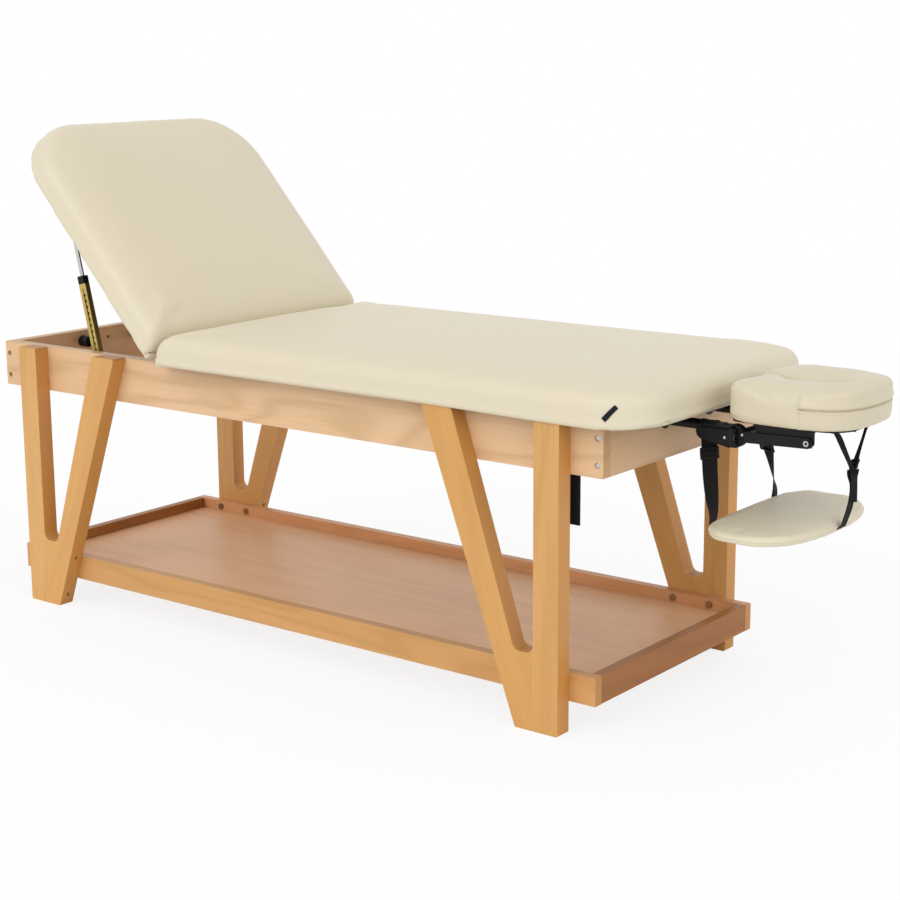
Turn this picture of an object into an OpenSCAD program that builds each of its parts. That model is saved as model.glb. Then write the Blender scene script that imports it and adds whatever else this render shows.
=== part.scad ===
// Wooden massage table with a lifting backrest, a storage tray between its
// forked legs, a tilting face cradle and a hanging arm shelf.
// Millimetres. +X runs towards the face cradle, +Z is up, Y = 0 is the middle.
// The origin is on the floor, under the middle of the whole table.

/* [Frame] */
// Length of the two long rails
rail_len = 1682; // [1500:1:1900]
// Width over the outer faces of the long rails
frame_w = 600; // [560:1:680]
// Height of the rails' top edges above the floor
rail_top = 609; // [560:1:760]
// Height of a rail
rail_h = 103; // [90:1:130]
// Thickness of a rail
rail_t = 25; // [20:1:30]
// Thickness of the cross rails under the boards
cross_t = 22; // [16:1:28]
// Height of the cross rails
cross_h = 70; // [50:1:88]

/* [Legs] */
// Thickness of a leg
leg_t = 38; // [30:1:44]
// Width of a leg's upright
upright_w = 57; // [48:1:70]
// Width of a leg where it meets the floor
foot_w = 99; // [90:1:120]
// Level width of a leg's leaning brace at its top
brace_w = 72; // [60:1:80]
// How far the brace leans over from the floor to the rail top
brace_lean = 223; // [200:1:260]
// Height of the fork's bottom above the floor
fork_z = 155; // [145:1:200]
// Width of the fork at its bottom
fork_gap = 44; // [36:1:50]
// Distance from the backrest end to the leg
leg_in_foot = 94; // [80:1:150]
// Distance from the cradle end to the leg
leg_in_head = 72; // [60:1:150]
// Rounding of the fork's bottom
fork_r = 17; // [8:1:20]
// Diameter of a leg bolt
bolt_d = 8; // [6:0.5:10]

/* [Tray] */
// Height of the tray's rim above the floor
rim_top = 120; // [90:1:150]
// Height of the rim boards
rim_h = 57; // [50:1:70]
// Thickness of the rim boards
rim_t = 22; // [16:1:25]
// Distance from the backrest end of the rails to the tray
tray_in_foot = 38; // [20:1:80]
// Distance from the cradle end of the rails to the tray
tray_in_head = 12; // [5:1:60]
// Depth of the panel's top face below the rim
panel_drop = 25; // [15:1:35]
// Thickness of the panel
panel_t = 9; // [6:1:12]

/* [Pads] */
// Overhang of the pads past the long rails
pad_over_side = 50; // [42:1:80]
// Overhang of the main pad past the cradle end
pad_over_head = 108; // [60:1:140]
// Distance from the backrest end of the rails to the joint between the pads
joint_in = 541; // [500:1:620]
// Length of the backrest from its hinge to its free end
back_len = 632; // [580:1:720]
// Thickness of a pad with its board
pad_t = 80; // [65:1:90]
// Height of the pad's crown
pad_crown = 8; // [2:0.5:10]
// Radius of the main pad's outer corners
pad_corner = 115; // [80:1:150]
// Radius of the backrest's outer corners
back_corner = 150; // [80:1:180]
// Rounding of the pads' upper edge
pad_edge = 36; // [25:1:45]
// Thickness of the boards under the pads
board_t = 15; // [12:1:18]
// Width of the padded lip around a board
lip_w = 12; // [9:1:20]

/* [Backrest lift] */
// Angle of the raised backrest
lift_angle = 48; // [20:1:50]
// Height of the hinge axis above the boards' underside
hinge_lift = 22; // [20:1:26]
// Diameter of a hinge barrel
barrel_d = 12; // [9:0.5:12]
// Diameter of the hinge pins
hinge_pin_d = 6; // [4:0.5:7]
// Width of a hinge
hinge_w = 90; // [60:1:120]
// Distance of each hinge from the middle
hinge_y = 215; // [150:1:250]
// Distance from the hinge to the stay's upper pivot
stay_pick = 478; // [460:1:500]
// Distance from the backrest end to the stay's lower pivot
stay_foot_in = 288; // [270:1:310]
// Depth of the stay's lower pivot below the rail top
stay_foot_drop = 27; // [20:1:45]
// Width of the stay's channel
channel_w = 22; // [18:1:26]
// Depth of the stay's channel
channel_d = 13; // [11:0.5:16]
// Length of the channel from its pivot to the end of the collar
channel_len = 200; // [180:1:204]
// Length of the sliding rod below its upper pivot
rod_len = 234; // [222:1:236]
// Width of the sliding rod
rod_w = 10; // [8:0.5:12]
// Number of ratchet notches
notch_count = 11; // [6:1:14]

/* [Face cradle] */
// Diameter of the cradle's posts
post_d = 20; // [16:0.5:22]
// Distance of each post from the middle
post_y = 84; // [70:1:100]
// Depth of the posts' axis below the rail top
post_drop = 26; // [22:1:40]
// Length of a post inside the frame
post_tail = 170; // [150:1:200]
// Outer diameter of a post's socket bush
bush_d = 27; // [25:0.5:32]
// How far a bush stands out inside the rail
bush_in = 25; // [15:1:40]
// Diameter of the tilt discs
disc_d = 44; // [36:1:50]
// Depth of the tilt axis below the posts' axis
disc_drop = 12; // [8:1:16]
// Length of the arms between their two axes
arm_len = 149; // [140:1:180]
// Height of the second axis above the first
arm_rise = 5; // [0:1:12]
// Height of an arm's bar
arm_h = 20; // [16:1:24]
// Thickness of an arm's bar
arm_t = 5; // [4:0.5:6]
// Height of the platform's underside above the tilt axis
platform_rise = 27; // [26:1:40]
// Length of the platform
platform_len = 230; // [190:1:236]
// Width of the platform
platform_w = 184; // [150:1:184]
// Thickness of the platform
platform_t = 6; // [4:0.5:10]

/* [Face cushion] */
// Gap between the main pad and the face cushion
cradle_gap = 33; // [30:1:60]
// Length of the face cushion
cushion_len = 257; // [240:1:290]
// Width of the face cushion
cushion_w = 266; // [250:1:300]
// Height of the face cushion
cushion_h = 79; // [60:1:85]
// Length of the opening for the face
face_len = 112; // [90:1:130]
// Width of the opening for the face
face_w = 92; // [80:1:110]
// Width of the gap between the cushion's two lobes
lobe_gap = 14; // [10:1:30]

/* [Arm shelf] */
// Length of the arm shelf across the table
shelf_len = 404; // [360:1:480]
// Width of the arm shelf
shelf_w = 202; // [170:1:230]
// Height of the arm shelf's board underside above the floor
shelf_z = 396; // [370:1:420]
// Thickness of the arm shelf's board
shelf_board_t = 6; // [5:1:12]
// Thickness of the arm shelf's pad
shelf_pad_t = 17; // [12:1:24]
// Distance from the cradle end of the rails to the arm shelf
shelf_out = 129; // [120:1:150]
// Width of the webbing
web_w = 34; // [24:1:38]
// Thickness of the webbing
web_t = 1.8; // [1.2:0.1:2.5]

/* [Hidden] */
// Small overrun that lets a cut pass right through a face
over = 1;
// Play between pieces that lie together but move apart, or are soft
seat = 0.3;
// Play of a pin or shaft in its bore, on the radius
run = 0.05;
// Play between fixed pieces that are let into each other
fit = 0.2;
// Smoothness of round pieces
$fn = 48;

// Places along the table
head_reach = pad_over_head + cradle_gap + cushion_len;
x_foot = -(rail_len + head_reach) / 2;
x_head = x_foot + rail_len;
hinge_x = x_foot + joint_in;
hinge_z = rail_top + hinge_lift;
pad_w = frame_w + 2 * pad_over_side;
leg_foot_x = x_foot + leg_in_foot;
leg_head_x = x_head - leg_in_head;
tray_x0 = x_foot + tray_in_foot;
tray_x1 = x_head - tray_in_head;

// ---- wood frame ----

// Rail screws: head, counterbore and shank
screw_head_d = 10;
screw_shank_d = 5;
screw_len = 65;
screw_sink = 5;
sink_d = 12;
screw_head_t = 3;
screw_z_shares = [0.27, 0.77];
rail_screw_zs = [for (s = screw_z_shares) rail_top - s * rail_h];
rail_screw_xs = [x_foot + rail_t / 2, x_head - rail_t / 2];

// Leg bolts run from inside the rails and rims into the legs
bolt_head_d = 16;
bolt_head_t = 3;
bolt_bite = 26;
rail_bolt_z = rail_top - rail_h / 2;
rim_bolt_z = rim_top - rim_h / 4;
brace_slope = brace_lean / rail_top;

// Middle of a leg's brace at height z, from the leg's outer edge
fork_in = upright_w + fork_gap;
brace_top = foot_w + brace_lean - brace_w;
function brace_mid(z) = (foot_w + brace_slope * z
    + (z < fork_z ? foot_w : fork_in + (brace_top - fork_in) * (z - fork_z) / (rail_top - fork_z))) / 2;
// Bolt places on one leg, from its outer edge: [across, height]
bolt_places = [[upright_w / 2, rail_bolt_z], [brace_mid(rail_bolt_z), rail_bolt_z],
    [upright_w / 2, rim_bolt_z], [brace_mid(rim_bolt_z), rim_bolt_z]];
// World x of a place on a leg: foot legs grow towards +X, head legs towards -X
function leg_x(end, across) = end < 0 ? leg_foot_x + across : leg_head_x - across;

// Plugged holes in the leaning face of a leg
plug_d = 9;
plug_deep = 14;
plug_zs = [foot_w / 4, 1.2 * foot_w];

module rail_holes(side) {
    for (x = rail_screw_xs, z = rail_screw_zs)
        translate([x, side * frame_w / 2, z]) rotate([90 * side, 0, 0]) {
            translate([0, 0, -over]) cylinder(d = sink_d, h = screw_sink + over);
            cylinder(d = screw_shank_d + fit, h = rail_t + over);
        }
}

module leg_bolt_holes(side, high) {
    for (end = [-1, 1], p = bolt_places)
        if ((p.y > rail_top - rail_h) == high)
            translate([leg_x(end, p.x), side * (frame_w / 2 + over), p.y])
                rotate([90 * side, 0, 0]) cylinder(d = bolt_d + fit, h = rail_t + 2 * over);
}

module long_rail(side) {
    difference() {
        translate([x_foot, side > 0 ? frame_w / 2 - rail_t : -frame_w / 2, rail_top - rail_h])
            cube([rail_len, rail_t, rail_h]);
        rail_holes(side);
        leg_bolt_holes(side, true);
    }
}

module near_rail() {
    color("#dcb189") long_rail(-1);
}

module far_rail() {
    color("#dcb189") long_rail(1);
}

// Holes of the cradle sockets and the small one between them
middle_hole_d = 9;
module end_rail(x) {
    inner = frame_w - 2 * rail_t;
    difference() {
        translate([x, -inner / 2, rail_top - rail_h]) cube([rail_t, inner, rail_h]);
        for (s = [-1, 1])
            translate([x - over, s * post_y, post_z]) rotate([0, 90, 0])
                cylinder(d = bush_d + fit, h = rail_t + 2 * over);
        translate([x - over, 0, post_z]) rotate([0, 90, 0])
            cylinder(d = middle_hole_d, h = rail_t + 2 * over);
        for (s = [-1, 1], z = rail_screw_zs)
            translate([x + rail_t / 2, s * (frame_w / 2 + over), z]) rotate([90 * s, 0, 0])
                cylinder(d = screw_shank_d + fit, h = screw_len + screw_sink + over);
    }
}

module foot_rail() {
    color("#d8ab80") end_rail(x_foot);
}

module head_rail() {
    color("#d8ab80") end_rail(x_head - rail_t);
}

// Cross rails carry the boards: beside the joint, in the middle and near the posts
cross_shares = [0.03, 0.42, 0.8];
module cross_rails() {
    inner = frame_w - 2 * rail_t;
    span = x_head - hinge_x;
    color("#d8ab80")
        for (s = cross_shares)
            translate([hinge_x + s * span, -inner / 2, rail_top - cross_h])
                cube([cross_t, inner, cross_h]);
}

module rail_screws() {
    color("#c9c9c6")
        for (side = [-1, 1], x = rail_screw_xs, z = rail_screw_zs)
            translate([x, side * (frame_w / 2 - screw_sink), z]) rotate([90 * side, 0, 0]) {
                translate([0, 0, -screw_head_t]) cylinder(d = screw_head_d, h = screw_head_t);
                cylinder(d = screw_shank_d, h = screw_len);
            }
}

// ---- forked legs ----

// Rounding of the leg's corners
leg_corner_r = 4;

// Outline of one leg, from its outer edge towards the table's middle
module leg_outline() {
    round_r = min(fork_r, fork_gap / 2 - over);
    offset(r = leg_corner_r) offset(delta = -leg_corner_r)
        offset(r = -round_r) offset(delta = round_r)
            polygon([[0, 0], [foot_w, 0], [foot_w + brace_lean, rail_top], [brace_top, rail_top],
                [fork_in, fork_z], [upright_w, fork_z], [upright_w, rail_top], [0, rail_top]]);
}

module leg(side, end) {
    y0 = side * frame_w / 2;
    difference() {
        translate([leg_x(end, 0), y0, 0]) mirror([end > 0 ? 1 : 0, 0, 0])
            rotate([90, 0, 0]) translate([0, 0, side > 0 ? -leg_t : 0])
                linear_extrude(leg_t) leg_outline();
        for (p = bolt_places)
            translate([leg_x(end, p.x), y0 - side * over, p.y]) rotate([-90 * side, 0, 0])
                cylinder(d = bolt_d + fit, h = bolt_bite + over + fit);
        for (z = plug_zs)
            translate([leg_x(end, foot_w + brace_slope * z), y0 + side * leg_t / 2, z])
                rotate([0, 90, 0]) cylinder(d = plug_d, h = 2 * plug_deep, center = true);
    }
}

module leg_near_foot() {
    color("#d3a267") leg(-1, -1);
}

module leg_far_foot() {
    color("#d3a267") leg(1, -1);
}

module leg_near_head() {
    color("#d3a267") leg(-1, 1);
}

module leg_far_head() {
    color("#d3a267") leg(1, 1);
}

module leg_bolts() {
    color("#c9c9c6")
        for (side = [-1, 1], end = [-1, 1], p = bolt_places) {
            depth = p.y > rim_top ? rail_t : rim_t;
            translate([leg_x(end, p.x), side * (frame_w / 2 - depth), p.y])
                rotate([-90 * side, 0, 0]) {
                    cylinder(d = bolt_d, h = depth + bolt_bite);
                    translate([0, 0, -bolt_head_t]) cylinder(d = bolt_head_d, h = bolt_head_t);
                }
        }
}

// ---- tray ----

// Depth of the groove that holds the panel
groove = 6;
tongue_share = 0.6;

module tray_slab(in, t) {
    translate([tray_x0 + in, -frame_w / 2 + in, rim_top - panel_drop - panel_t])
        cube([tray_x1 - tray_x0 - 2 * in, frame_w - 2 * in, t]);
}

// The panel's edge is thinned to a tongue that sits in the rims' grooves
module panel_tongue() {
    tray_slab(rim_t - groove, panel_t * tongue_share);
}

module long_rim(side) {
    difference() {
        translate([tray_x0, side > 0 ? frame_w / 2 - rim_t : -frame_w / 2, rim_top - rim_h])
            cube([tray_x1 - tray_x0, rim_t, rim_h]);
        panel_tongue();
        leg_bolt_holes(side, false);
    }
}

module rim_near() {
    color("#d6a878") long_rim(-1);
}

module rim_far() {
    color("#d6a878") long_rim(1);
}

module end_rim(x) {
    inner = frame_w - 2 * rim_t;
    difference() {
        translate([x, -inner / 2, rim_top - rim_h]) cube([rim_t, inner, rim_h]);
        panel_tongue();
    }
}

module rim_foot() {
    color("#d6a878") end_rim(tray_x0);
}

module rim_head() {
    color("#d6a878") end_rim(tray_x1 - rim_t);
}

module tray_panel() {
    color("#e0bd92") {
        panel_tongue();
        tray_slab(rim_t + seat, panel_t);
    }
}

// ---- sockets for the cradle's posts ----

bush_flange_d = 36;
bush_flange_t = 2.5;
post_z = rail_top - post_drop;

// Two bushes let into an end rail from its outer face; dir is outwards along X
module bushes(x_out, dir, flange) {
    for (s = [-1, 1])
        translate([x_out, s * post_y, post_z]) rotate([0, -90 * dir, 0]) difference() {
            union() {
                cylinder(d = bush_d, h = rail_t + bush_in);
                if (flange)
                    translate([0, 0, -bush_flange_t]) cylinder(d = bush_flange_d, h = bush_flange_t);
            }
            translate([0, 0, -bush_flange_t - over])
                cylinder(r = post_d / 2 + run, h = rail_t + bush_in + bush_flange_t + 2 * over);
        }
}

module bushes_foot() {
    color("#1c1c1e") bushes(x_foot, -1, false);
}

module bushes_head() {
    color("#1c1c1e") bushes(x_head, 1, true);
}

// Webbing loop that hangs inside the near rail by the cradle-end leg
loop_in = 79;
loop_drop = 104;
loop_hold = 60;
hang_w = 22;
module hang_loop() {
    x0 = x_head - loop_in - hang_w / 2;
    y0 = -frame_w / 2 + rail_t;
    z0 = rail_top - rail_h - loop_drop;
    loop_w = 2 * web_t + seat;
    color("#18181a") {
        translate([x0, y0, z0 + loop_w / 2]) cube([hang_w, web_t, loop_hold + loop_drop]);
        translate([x0, y0 + web_t + seat, z0 + loop_w / 2])
            cube([hang_w, web_t, loop_hold + loop_drop]);
        translate([x0, y0 + loop_w / 2, z0 + loop_w / 2]) rotate([0, 90, 0]) difference() {
            cylinder(d = loop_w, h = hang_w);
            translate([0, 0, -over]) cylinder(d = seat, h = hang_w + 2 * over);
            translate([-loop_w, -loop_w, -over]) cube([loop_w, 2 * loop_w, hang_w + 2 * over]);
        }
    }
}

// ---- pads ----

// Rounding of the pads where they meet, and half the gap between them
joint_r = pad_t - pad_crown - hinge_lift;
release_angle = 4;
joint_half = (joint_r + seat) / cos((lift_angle + release_angle) / 2) - joint_r;
// Height of the pads' lower rolled edge and how far it tucks in
roll_h = 8;
tuck = 4;
// How far the cover hangs clear of the rails
lip_gap = 2;
joint_corner = 22;
least_r = 6;
arc_steps = 8;
arc_shares = [0.2, 0.4, 0.6, 0.8, 1];
crown_in_shares = [0.12, 0.32, 0.6, 0.86];
crown_up_shares = [0.4, 0.72, 0.94, 1];
half_w = pad_w / 2;
flat_t = pad_t - pad_crown;

function corner(cx, cy, r, a0) =
    [for (i = [0:arc_steps]) [cx + r * cos(a0 + 90 * i / arc_steps),
        cy + r * sin(a0 + 90 * i / arc_steps)]];

// Outline with corners r0 at its low-x end and r1 at its high-x end
function slab_outline(x0, x1, hw, r0, r1) = concat(
    corner(x1 - r1, hw - r1, r1, 0), corner(x0 + r0, hw - r0, r0, 90),
    corner(x0 + r0, -hw + r0, r0, 180), corner(x1 - r1, -hw + r1, r1, 270));

// Levels of a pad: [height above the board's underside, inset from the side]
pad_levels = concat(
    [[lip_gap, tuck], [lip_gap + roll_h, tuck / 4], [flat_t - pad_edge, 0]],
    [for (s = arc_shares) [flat_t - pad_edge + pad_edge * sin(90 * s), pad_edge * (1 - cos(90 * s))]],
    [for (i = [0:len(crown_in_shares) - 1])
        [flat_t + pad_crown * crown_up_shares[i],
            pad_edge + (half_w - pad_edge) * crown_in_shares[i]]]);

// Inset of the end at the joint: upright to the hinge axis, then a quarter round
function joint_inset(z, side_in) =
    z <= hinge_lift ? joint_half
    : z <= flat_t ? joint_half + joint_r - sqrt(max(0, pow(joint_r, 2) - pow(z - hinge_lift, 2)))
    : joint_half + joint_r + side_in - pad_edge;

module ring_solid(rings) {
    n = len(rings[0]);
    m = len(rings);
    polyhedron(points = [for (r = rings, p = r) p],
        faces = concat([[for (i = [0:n - 1]) i]], [[for (i = [n - 1:-1:0]) (m - 1) * n + i]],
            [for (k = [0:m - 2], i = [0:n - 1]) [k * n + i, (k + 1) * n + i, k * n + (i + 1) % n]],
            [for (k = [0:m - 2], i = [0:n - 1])
                [k * n + (i + 1) % n, (k + 1) * n + i, (k + 1) * n + (i + 1) % n]]));
}

function pad_rings(length, round_r) =
    [for (l = pad_levels)
        [for (p = slab_outline(joint_inset(l.x, l.y), length - l.y, half_w - l.y,
                max(joint_corner - l.y / 2, least_r), max(round_r - l.y, least_r)))
            [p.x, p.y, l.x]]];

// Board and pad of one section, lying flat with the hinge line at x = 0
module section_board(length, round_r) {
    linear_extrude(board_t)
        polygon(slab_outline(joint_half, length - lip_w, half_w - lip_w, least_r, round_r - lip_w));
}

leaf_t = 2.5;
leaf_len = 52;
module section_pad(length, round_r) {
    difference() {
        ring_solid(pad_rings(length, round_r));
        translate([0, 0, -over]) linear_extrude(board_t + over)
            polygon(slab_outline(-over, length - lip_w, half_w - lip_w, least_r, round_r - lip_w));
        for (s = [-1, 1])
            translate([0, s * hinge_y - hinge_w / 2 - fit, board_t - over])
                cube([leaf_len + fit, hinge_w + 2 * fit, leaf_t + over + fit]);
    }
}

module main_board() {
    color("#2a2622") translate([hinge_x, 0, rail_top]) section_board(x_head + pad_over_head - hinge_x, pad_corner);
}

module main_pad() {
    color("#e6dfc8") translate([hinge_x, 0, rail_top]) section_pad(x_head + pad_over_head - hinge_x, pad_corner);
}

// Puts a backrest piece, drawn flat from the hinge line towards +X, in its raised place
module raised(angle = lift_angle) {
    translate([hinge_x, 0, hinge_z]) rotate([0, angle, 0]) translate([0, 0, -hinge_lift])
        mirror([1, 0, 0]) children();
}

module back_board() {
    color("#2a2622") raised() section_board(back_len, back_corner);
}

module back_pad() {
    color("#e6dfc8") raised() section_pad(back_len, back_corner);
}

// ---- backrest hinges ----

knuckle = hinge_w / 3;

// A leaf on the board's top with a barrel of the given span, hinge line at x = 0
module leaf_part(spans) {
    for (s = [-1, 1]) translate([0, s * hinge_y, 0]) difference() {
        union() {
            translate([joint_half, -hinge_w / 2, board_t]) cube([leaf_len - joint_half, hinge_w, leaf_t]);
            for (k = spans) {
                translate([0, k.x, hinge_lift]) rotate([-90, 0, 0]) cylinder(d = barrel_d, h = k.y - k.x);
                translate([0, k.x, board_t]) cube([joint_half + over, k.y - k.x, leaf_t]);
            }
        }
        translate([0, -hinge_w / 2 - over, hinge_lift]) rotate([-90, 0, 0])
            cylinder(r = hinge_pin_d / 2 + run, h = hinge_w + 2 * over);
    }
}

module hinge_main() {
    outer = [[-hinge_w / 2, -knuckle / 2 - fit], [knuckle / 2 + fit, hinge_w / 2]];
    color("#b9b9b5") translate([hinge_x, 0, rail_top]) leaf_part(outer);
}

module hinge_back() {
    color("#b9b9b5") raised() leaf_part([[-knuckle / 2, knuckle / 2]]);
}

module hinge_pins() {
    color("#b9b9b5") for (s = [-1, 1])
        translate([hinge_x, s * hinge_y - hinge_w / 2, hinge_z]) rotate([-90, 0, 0])
            cylinder(d = hinge_pin_d, h = hinge_w);
}

// ---- ratchet stays ----

// A flat point of the backrest, [towards the free end, below the board], when raised
function lifted(out, down) = [
    hinge_x - out * cos(lift_angle) - (hinge_lift + down) * sin(lift_angle),
    hinge_z + out * sin(lift_angle) - (hinge_lift + down) * cos(lift_angle)];

stay_drop = 12;
eye_r = 8;
eye_pin_d = 6;
rod_t = 4;
sheet_t = 1.6;
collar_h = 18;
collar_grow = 1.5;
collar_narrow = 2;
stay_clear = 5;
stay_in = rail_t + stay_clear;
stay_web_y = frame_w / 2 - stay_in;
stay_mid_y = stay_web_y - channel_d / 2;
stay_top = lifted(stay_pick, stay_drop);
stay_foot = [x_foot + stay_foot_in, rail_top - stay_foot_drop];
stay_run = stay_top - stay_foot;
stay_len = norm(stay_run);
stay_lean = atan2(stay_run.x, stay_run.y);

// Local frame of a stay: z runs from its foot to its top, y outwards to its rail
module on_stay(side) {
    translate([stay_foot.x, side * stay_mid_y, stay_foot.y]) rotate([0, stay_lean, 0])
        mirror([0, side < 0 ? 1 : 0, 0]) children();
}

notch_d = 8;
slot_w = 4;
channel_tail = 12;
module channel() {
    body = channel_len - collar_h;
    pitch = (body - channel_tail) / (notch_count + 1);
    difference() {
        translate([-channel_w / 2, -channel_d / 2, -channel_tail])
            cube([channel_w, channel_d, body + channel_tail]);
        translate([-channel_w / 2 + sheet_t, -channel_d / 2 - over, -channel_tail - over])
            cube([channel_w - 2 * sheet_t, channel_d - sheet_t + over, body + channel_tail + 2 * over]);
        translate([-slot_w / 2, 0, pitch]) cube([slot_w, channel_d, body - channel_tail - pitch]);
        for (i = [1:notch_count])
            translate([slot_w / 3, 0, i * pitch]) rotate([-90, 0, 0])
                cylinder(d = notch_d, h = channel_d);
    }
}

module stay_channel_near() {
    color("#cdb04e") on_stay(-1) channel();
}

module stay_channel_far() {
    color("#cdb04e") on_stay(1) channel();
}

module rod() {
    low = stay_len - rod_len;
    head_w = channel_w - 2 * sheet_t - 2 * seat;
    head_t = channel_d / 2 + rod_t / 2 - sheet_t - seat;
    difference() {
        union() {
            translate([-rod_w / 2, -rod_t / 2, low]) cube([rod_w, rod_t, rod_len]);
            translate([-head_w / 2, -rod_t / 2, low]) cube([head_w, head_t, eye_r]);
            translate([0, rod_t / 2, stay_len]) rotate([90, 0, 0]) cylinder(r = eye_r, h = rod_t);
        }
        translate([0, rod_t, stay_len]) rotate([90, 0, 0])
            cylinder(r = eye_pin_d / 2 + run, h = 2 * rod_t);
    }
}

module stay_rod_near() {
    color("#b4bab8") on_stay(-1) rod();
}

module stay_rod_far() {
    color("#b4bab8") on_stay(1) rod();
}

module collar() {
    w = channel_w - collar_narrow;
    d = channel_d + 2 * collar_grow;
    translate([0, 0, channel_len - collar_h]) difference() {
        translate([-w / 2, -d / 2, 0]) cube([w, d, collar_h]);
        translate([-rod_w / 2 - seat, -rod_t / 2 - seat, -over])
            cube([rod_w + 2 * seat, rod_t + 2 * seat, collar_h + 2 * over]);
    }
}

module stay_collar_near() {
    color("#1d2322") on_stay(-1) collar();
}

module stay_collar_far() {
    color("#1d2322") on_stay(1) collar();
}

// Plates on the rails with a stub that the channel's foot turns on
mount_w = 44;
mount_h = 30;
mount_t = 2.5;
stub_d = 12;
module stay_mounts() {
    color("#cdb04e") for (s = [-1, 1])
        translate([stay_foot.x, s * (frame_w / 2 - rail_t), stay_foot.y]) rotate([90 * s, 0, 0]) {
            translate([-mount_w / 2, -mount_h / 2, 0]) cube([mount_w, mount_h, mount_t]);
            cylinder(d = stub_d, h = stay_in - rail_t - seat);
        }
}

// Clevises under the raised board that hold the rods' upper eyes
clevis_len = 34;
clevis_t = 2.5;
cheek_w = 18;
module stay_clevises() {
    gap = rod_t + 2 * seat;
    color("#cdb04e") raised() for (s = [-1, 1])
        translate([stay_pick, s * stay_mid_y, 0]) {
            translate([-clevis_len / 2, -gap / 2 - clevis_t, -clevis_t])
                cube([clevis_len, gap + 2 * clevis_t, clevis_t]);
            for (k = [-1, 1]) translate([0, k * (gap + clevis_t) / 2, 0]) {
                translate([-cheek_w / 2, -clevis_t / 2, -stay_drop]) cube([cheek_w, clevis_t, stay_drop]);
                translate([0, clevis_t / 2, -stay_drop]) rotate([90, 0, 0])
                    cylinder(d = cheek_w, h = clevis_t);
            }
            translate([0, gap / 2 + clevis_t, -stay_drop]) rotate([90, 0, 0])
                cylinder(d = eye_pin_d, h = gap + 2 * clevis_t);
        }
}

// ---- face cradle ----

cushion_x0 = x_head + pad_over_head + cradle_gap;
cushion_mid_x = cushion_x0 + cushion_len / 2;
disc_back = 14;
disc_x = cushion_x0 + disc_back;
disc_z = post_z - disc_drop;
disc_r = disc_d / 2;
disc_t = 8;
tongue_t = 10;
post_r = post_d / 2;
post_x0 = x_head - post_tail;
tie_d = 8;
nut_d = 18;
nut_t = 7;
pivot_x = disc_x + arm_len;
pivot_z = disc_z + arm_rise;
platform_z = disc_z + platform_rise;
cushion_z = platform_z + platform_t + seat;
arm_y0 = post_y + tongue_t / 2 + seat;

// A plate in the XZ plane, seen along Y: drawn at y from 0 to t
module side_plate(t) {
    translate([0, t, 0]) rotate([90, 0, 0]) linear_extrude(t) children();
}

module both_sides() {
    children();
    mirror([0, 1, 0]) children();
}

module posts() {
    bar_end = disc_x - disc_r;
    color("#1b1b1d") both_sides() difference() {
        union() {
            translate([post_x0, post_y, post_z]) rotate([0, 90, 0])
                cylinder(d = post_d, h = bar_end - post_x0);
            translate([bar_end - post_r, post_y - tongue_t / 2, disc_z - post_r / 2])
                cube([post_r + disc_r, tongue_t, post_d + post_r / 2]);
            translate([disc_x, post_y + tongue_t / 2, disc_z]) rotate([90, 0, 0])
                cylinder(d = disc_d, h = tongue_t);
        }
        translate([disc_x, post_y + tongue_t, disc_z]) rotate([90, 0, 0])
            cylinder(d = tie_d + fit, h = 2 * tongue_t);
    }
}

cross_d = 16;
module cross_tube() {
    span = 2 * post_y - tongue_t;
    color("#1b1b1d") translate([disc_x, -span / 2, disc_z]) rotate([-90, 0, 0]) difference() {
        cylinder(d = cross_d, h = span);
        translate([0, 0, -over]) cylinder(d = tie_d + fit, h = span + 2 * over);
    }
}

// The rod that draws the discs together: a nut on the far side, a barrel in the cam
cam_r = 9;
cam_y = arm_y0 + disc_t + seat + cam_r;
barrel_h = 10;
barrel_step = 2;
module tie_rod() {
    color("#8f9092") difference() {
        union() {
            translate([disc_x, -cam_y, disc_z]) rotate([-90, 0, 0])
                cylinder(d = tie_d, h = cam_y + arm_y0 + disc_t + nut_t);
            translate([disc_x, arm_y0 + disc_t + seat, disc_z]) rotate([-90, 0, 0])
                cylinder(d = nut_d, h = nut_t);
            translate([disc_x, -cam_y, disc_z - barrel_h / 2])
                cylinder(r = cam_r - barrel_step, h = barrel_h);
        }
        translate([disc_x, -cam_y, disc_z - barrel_h])
            cylinder(d = pin_d + fit, h = 2 * barrel_h);
    }
}

pin_d = 5;
cam_h = 32;
module cam_pin() {
    color("#c9c9c6") translate([disc_x, -cam_y, disc_z - cam_h / 2]) cylinder(d = pin_d, h = cam_h);
}

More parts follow.
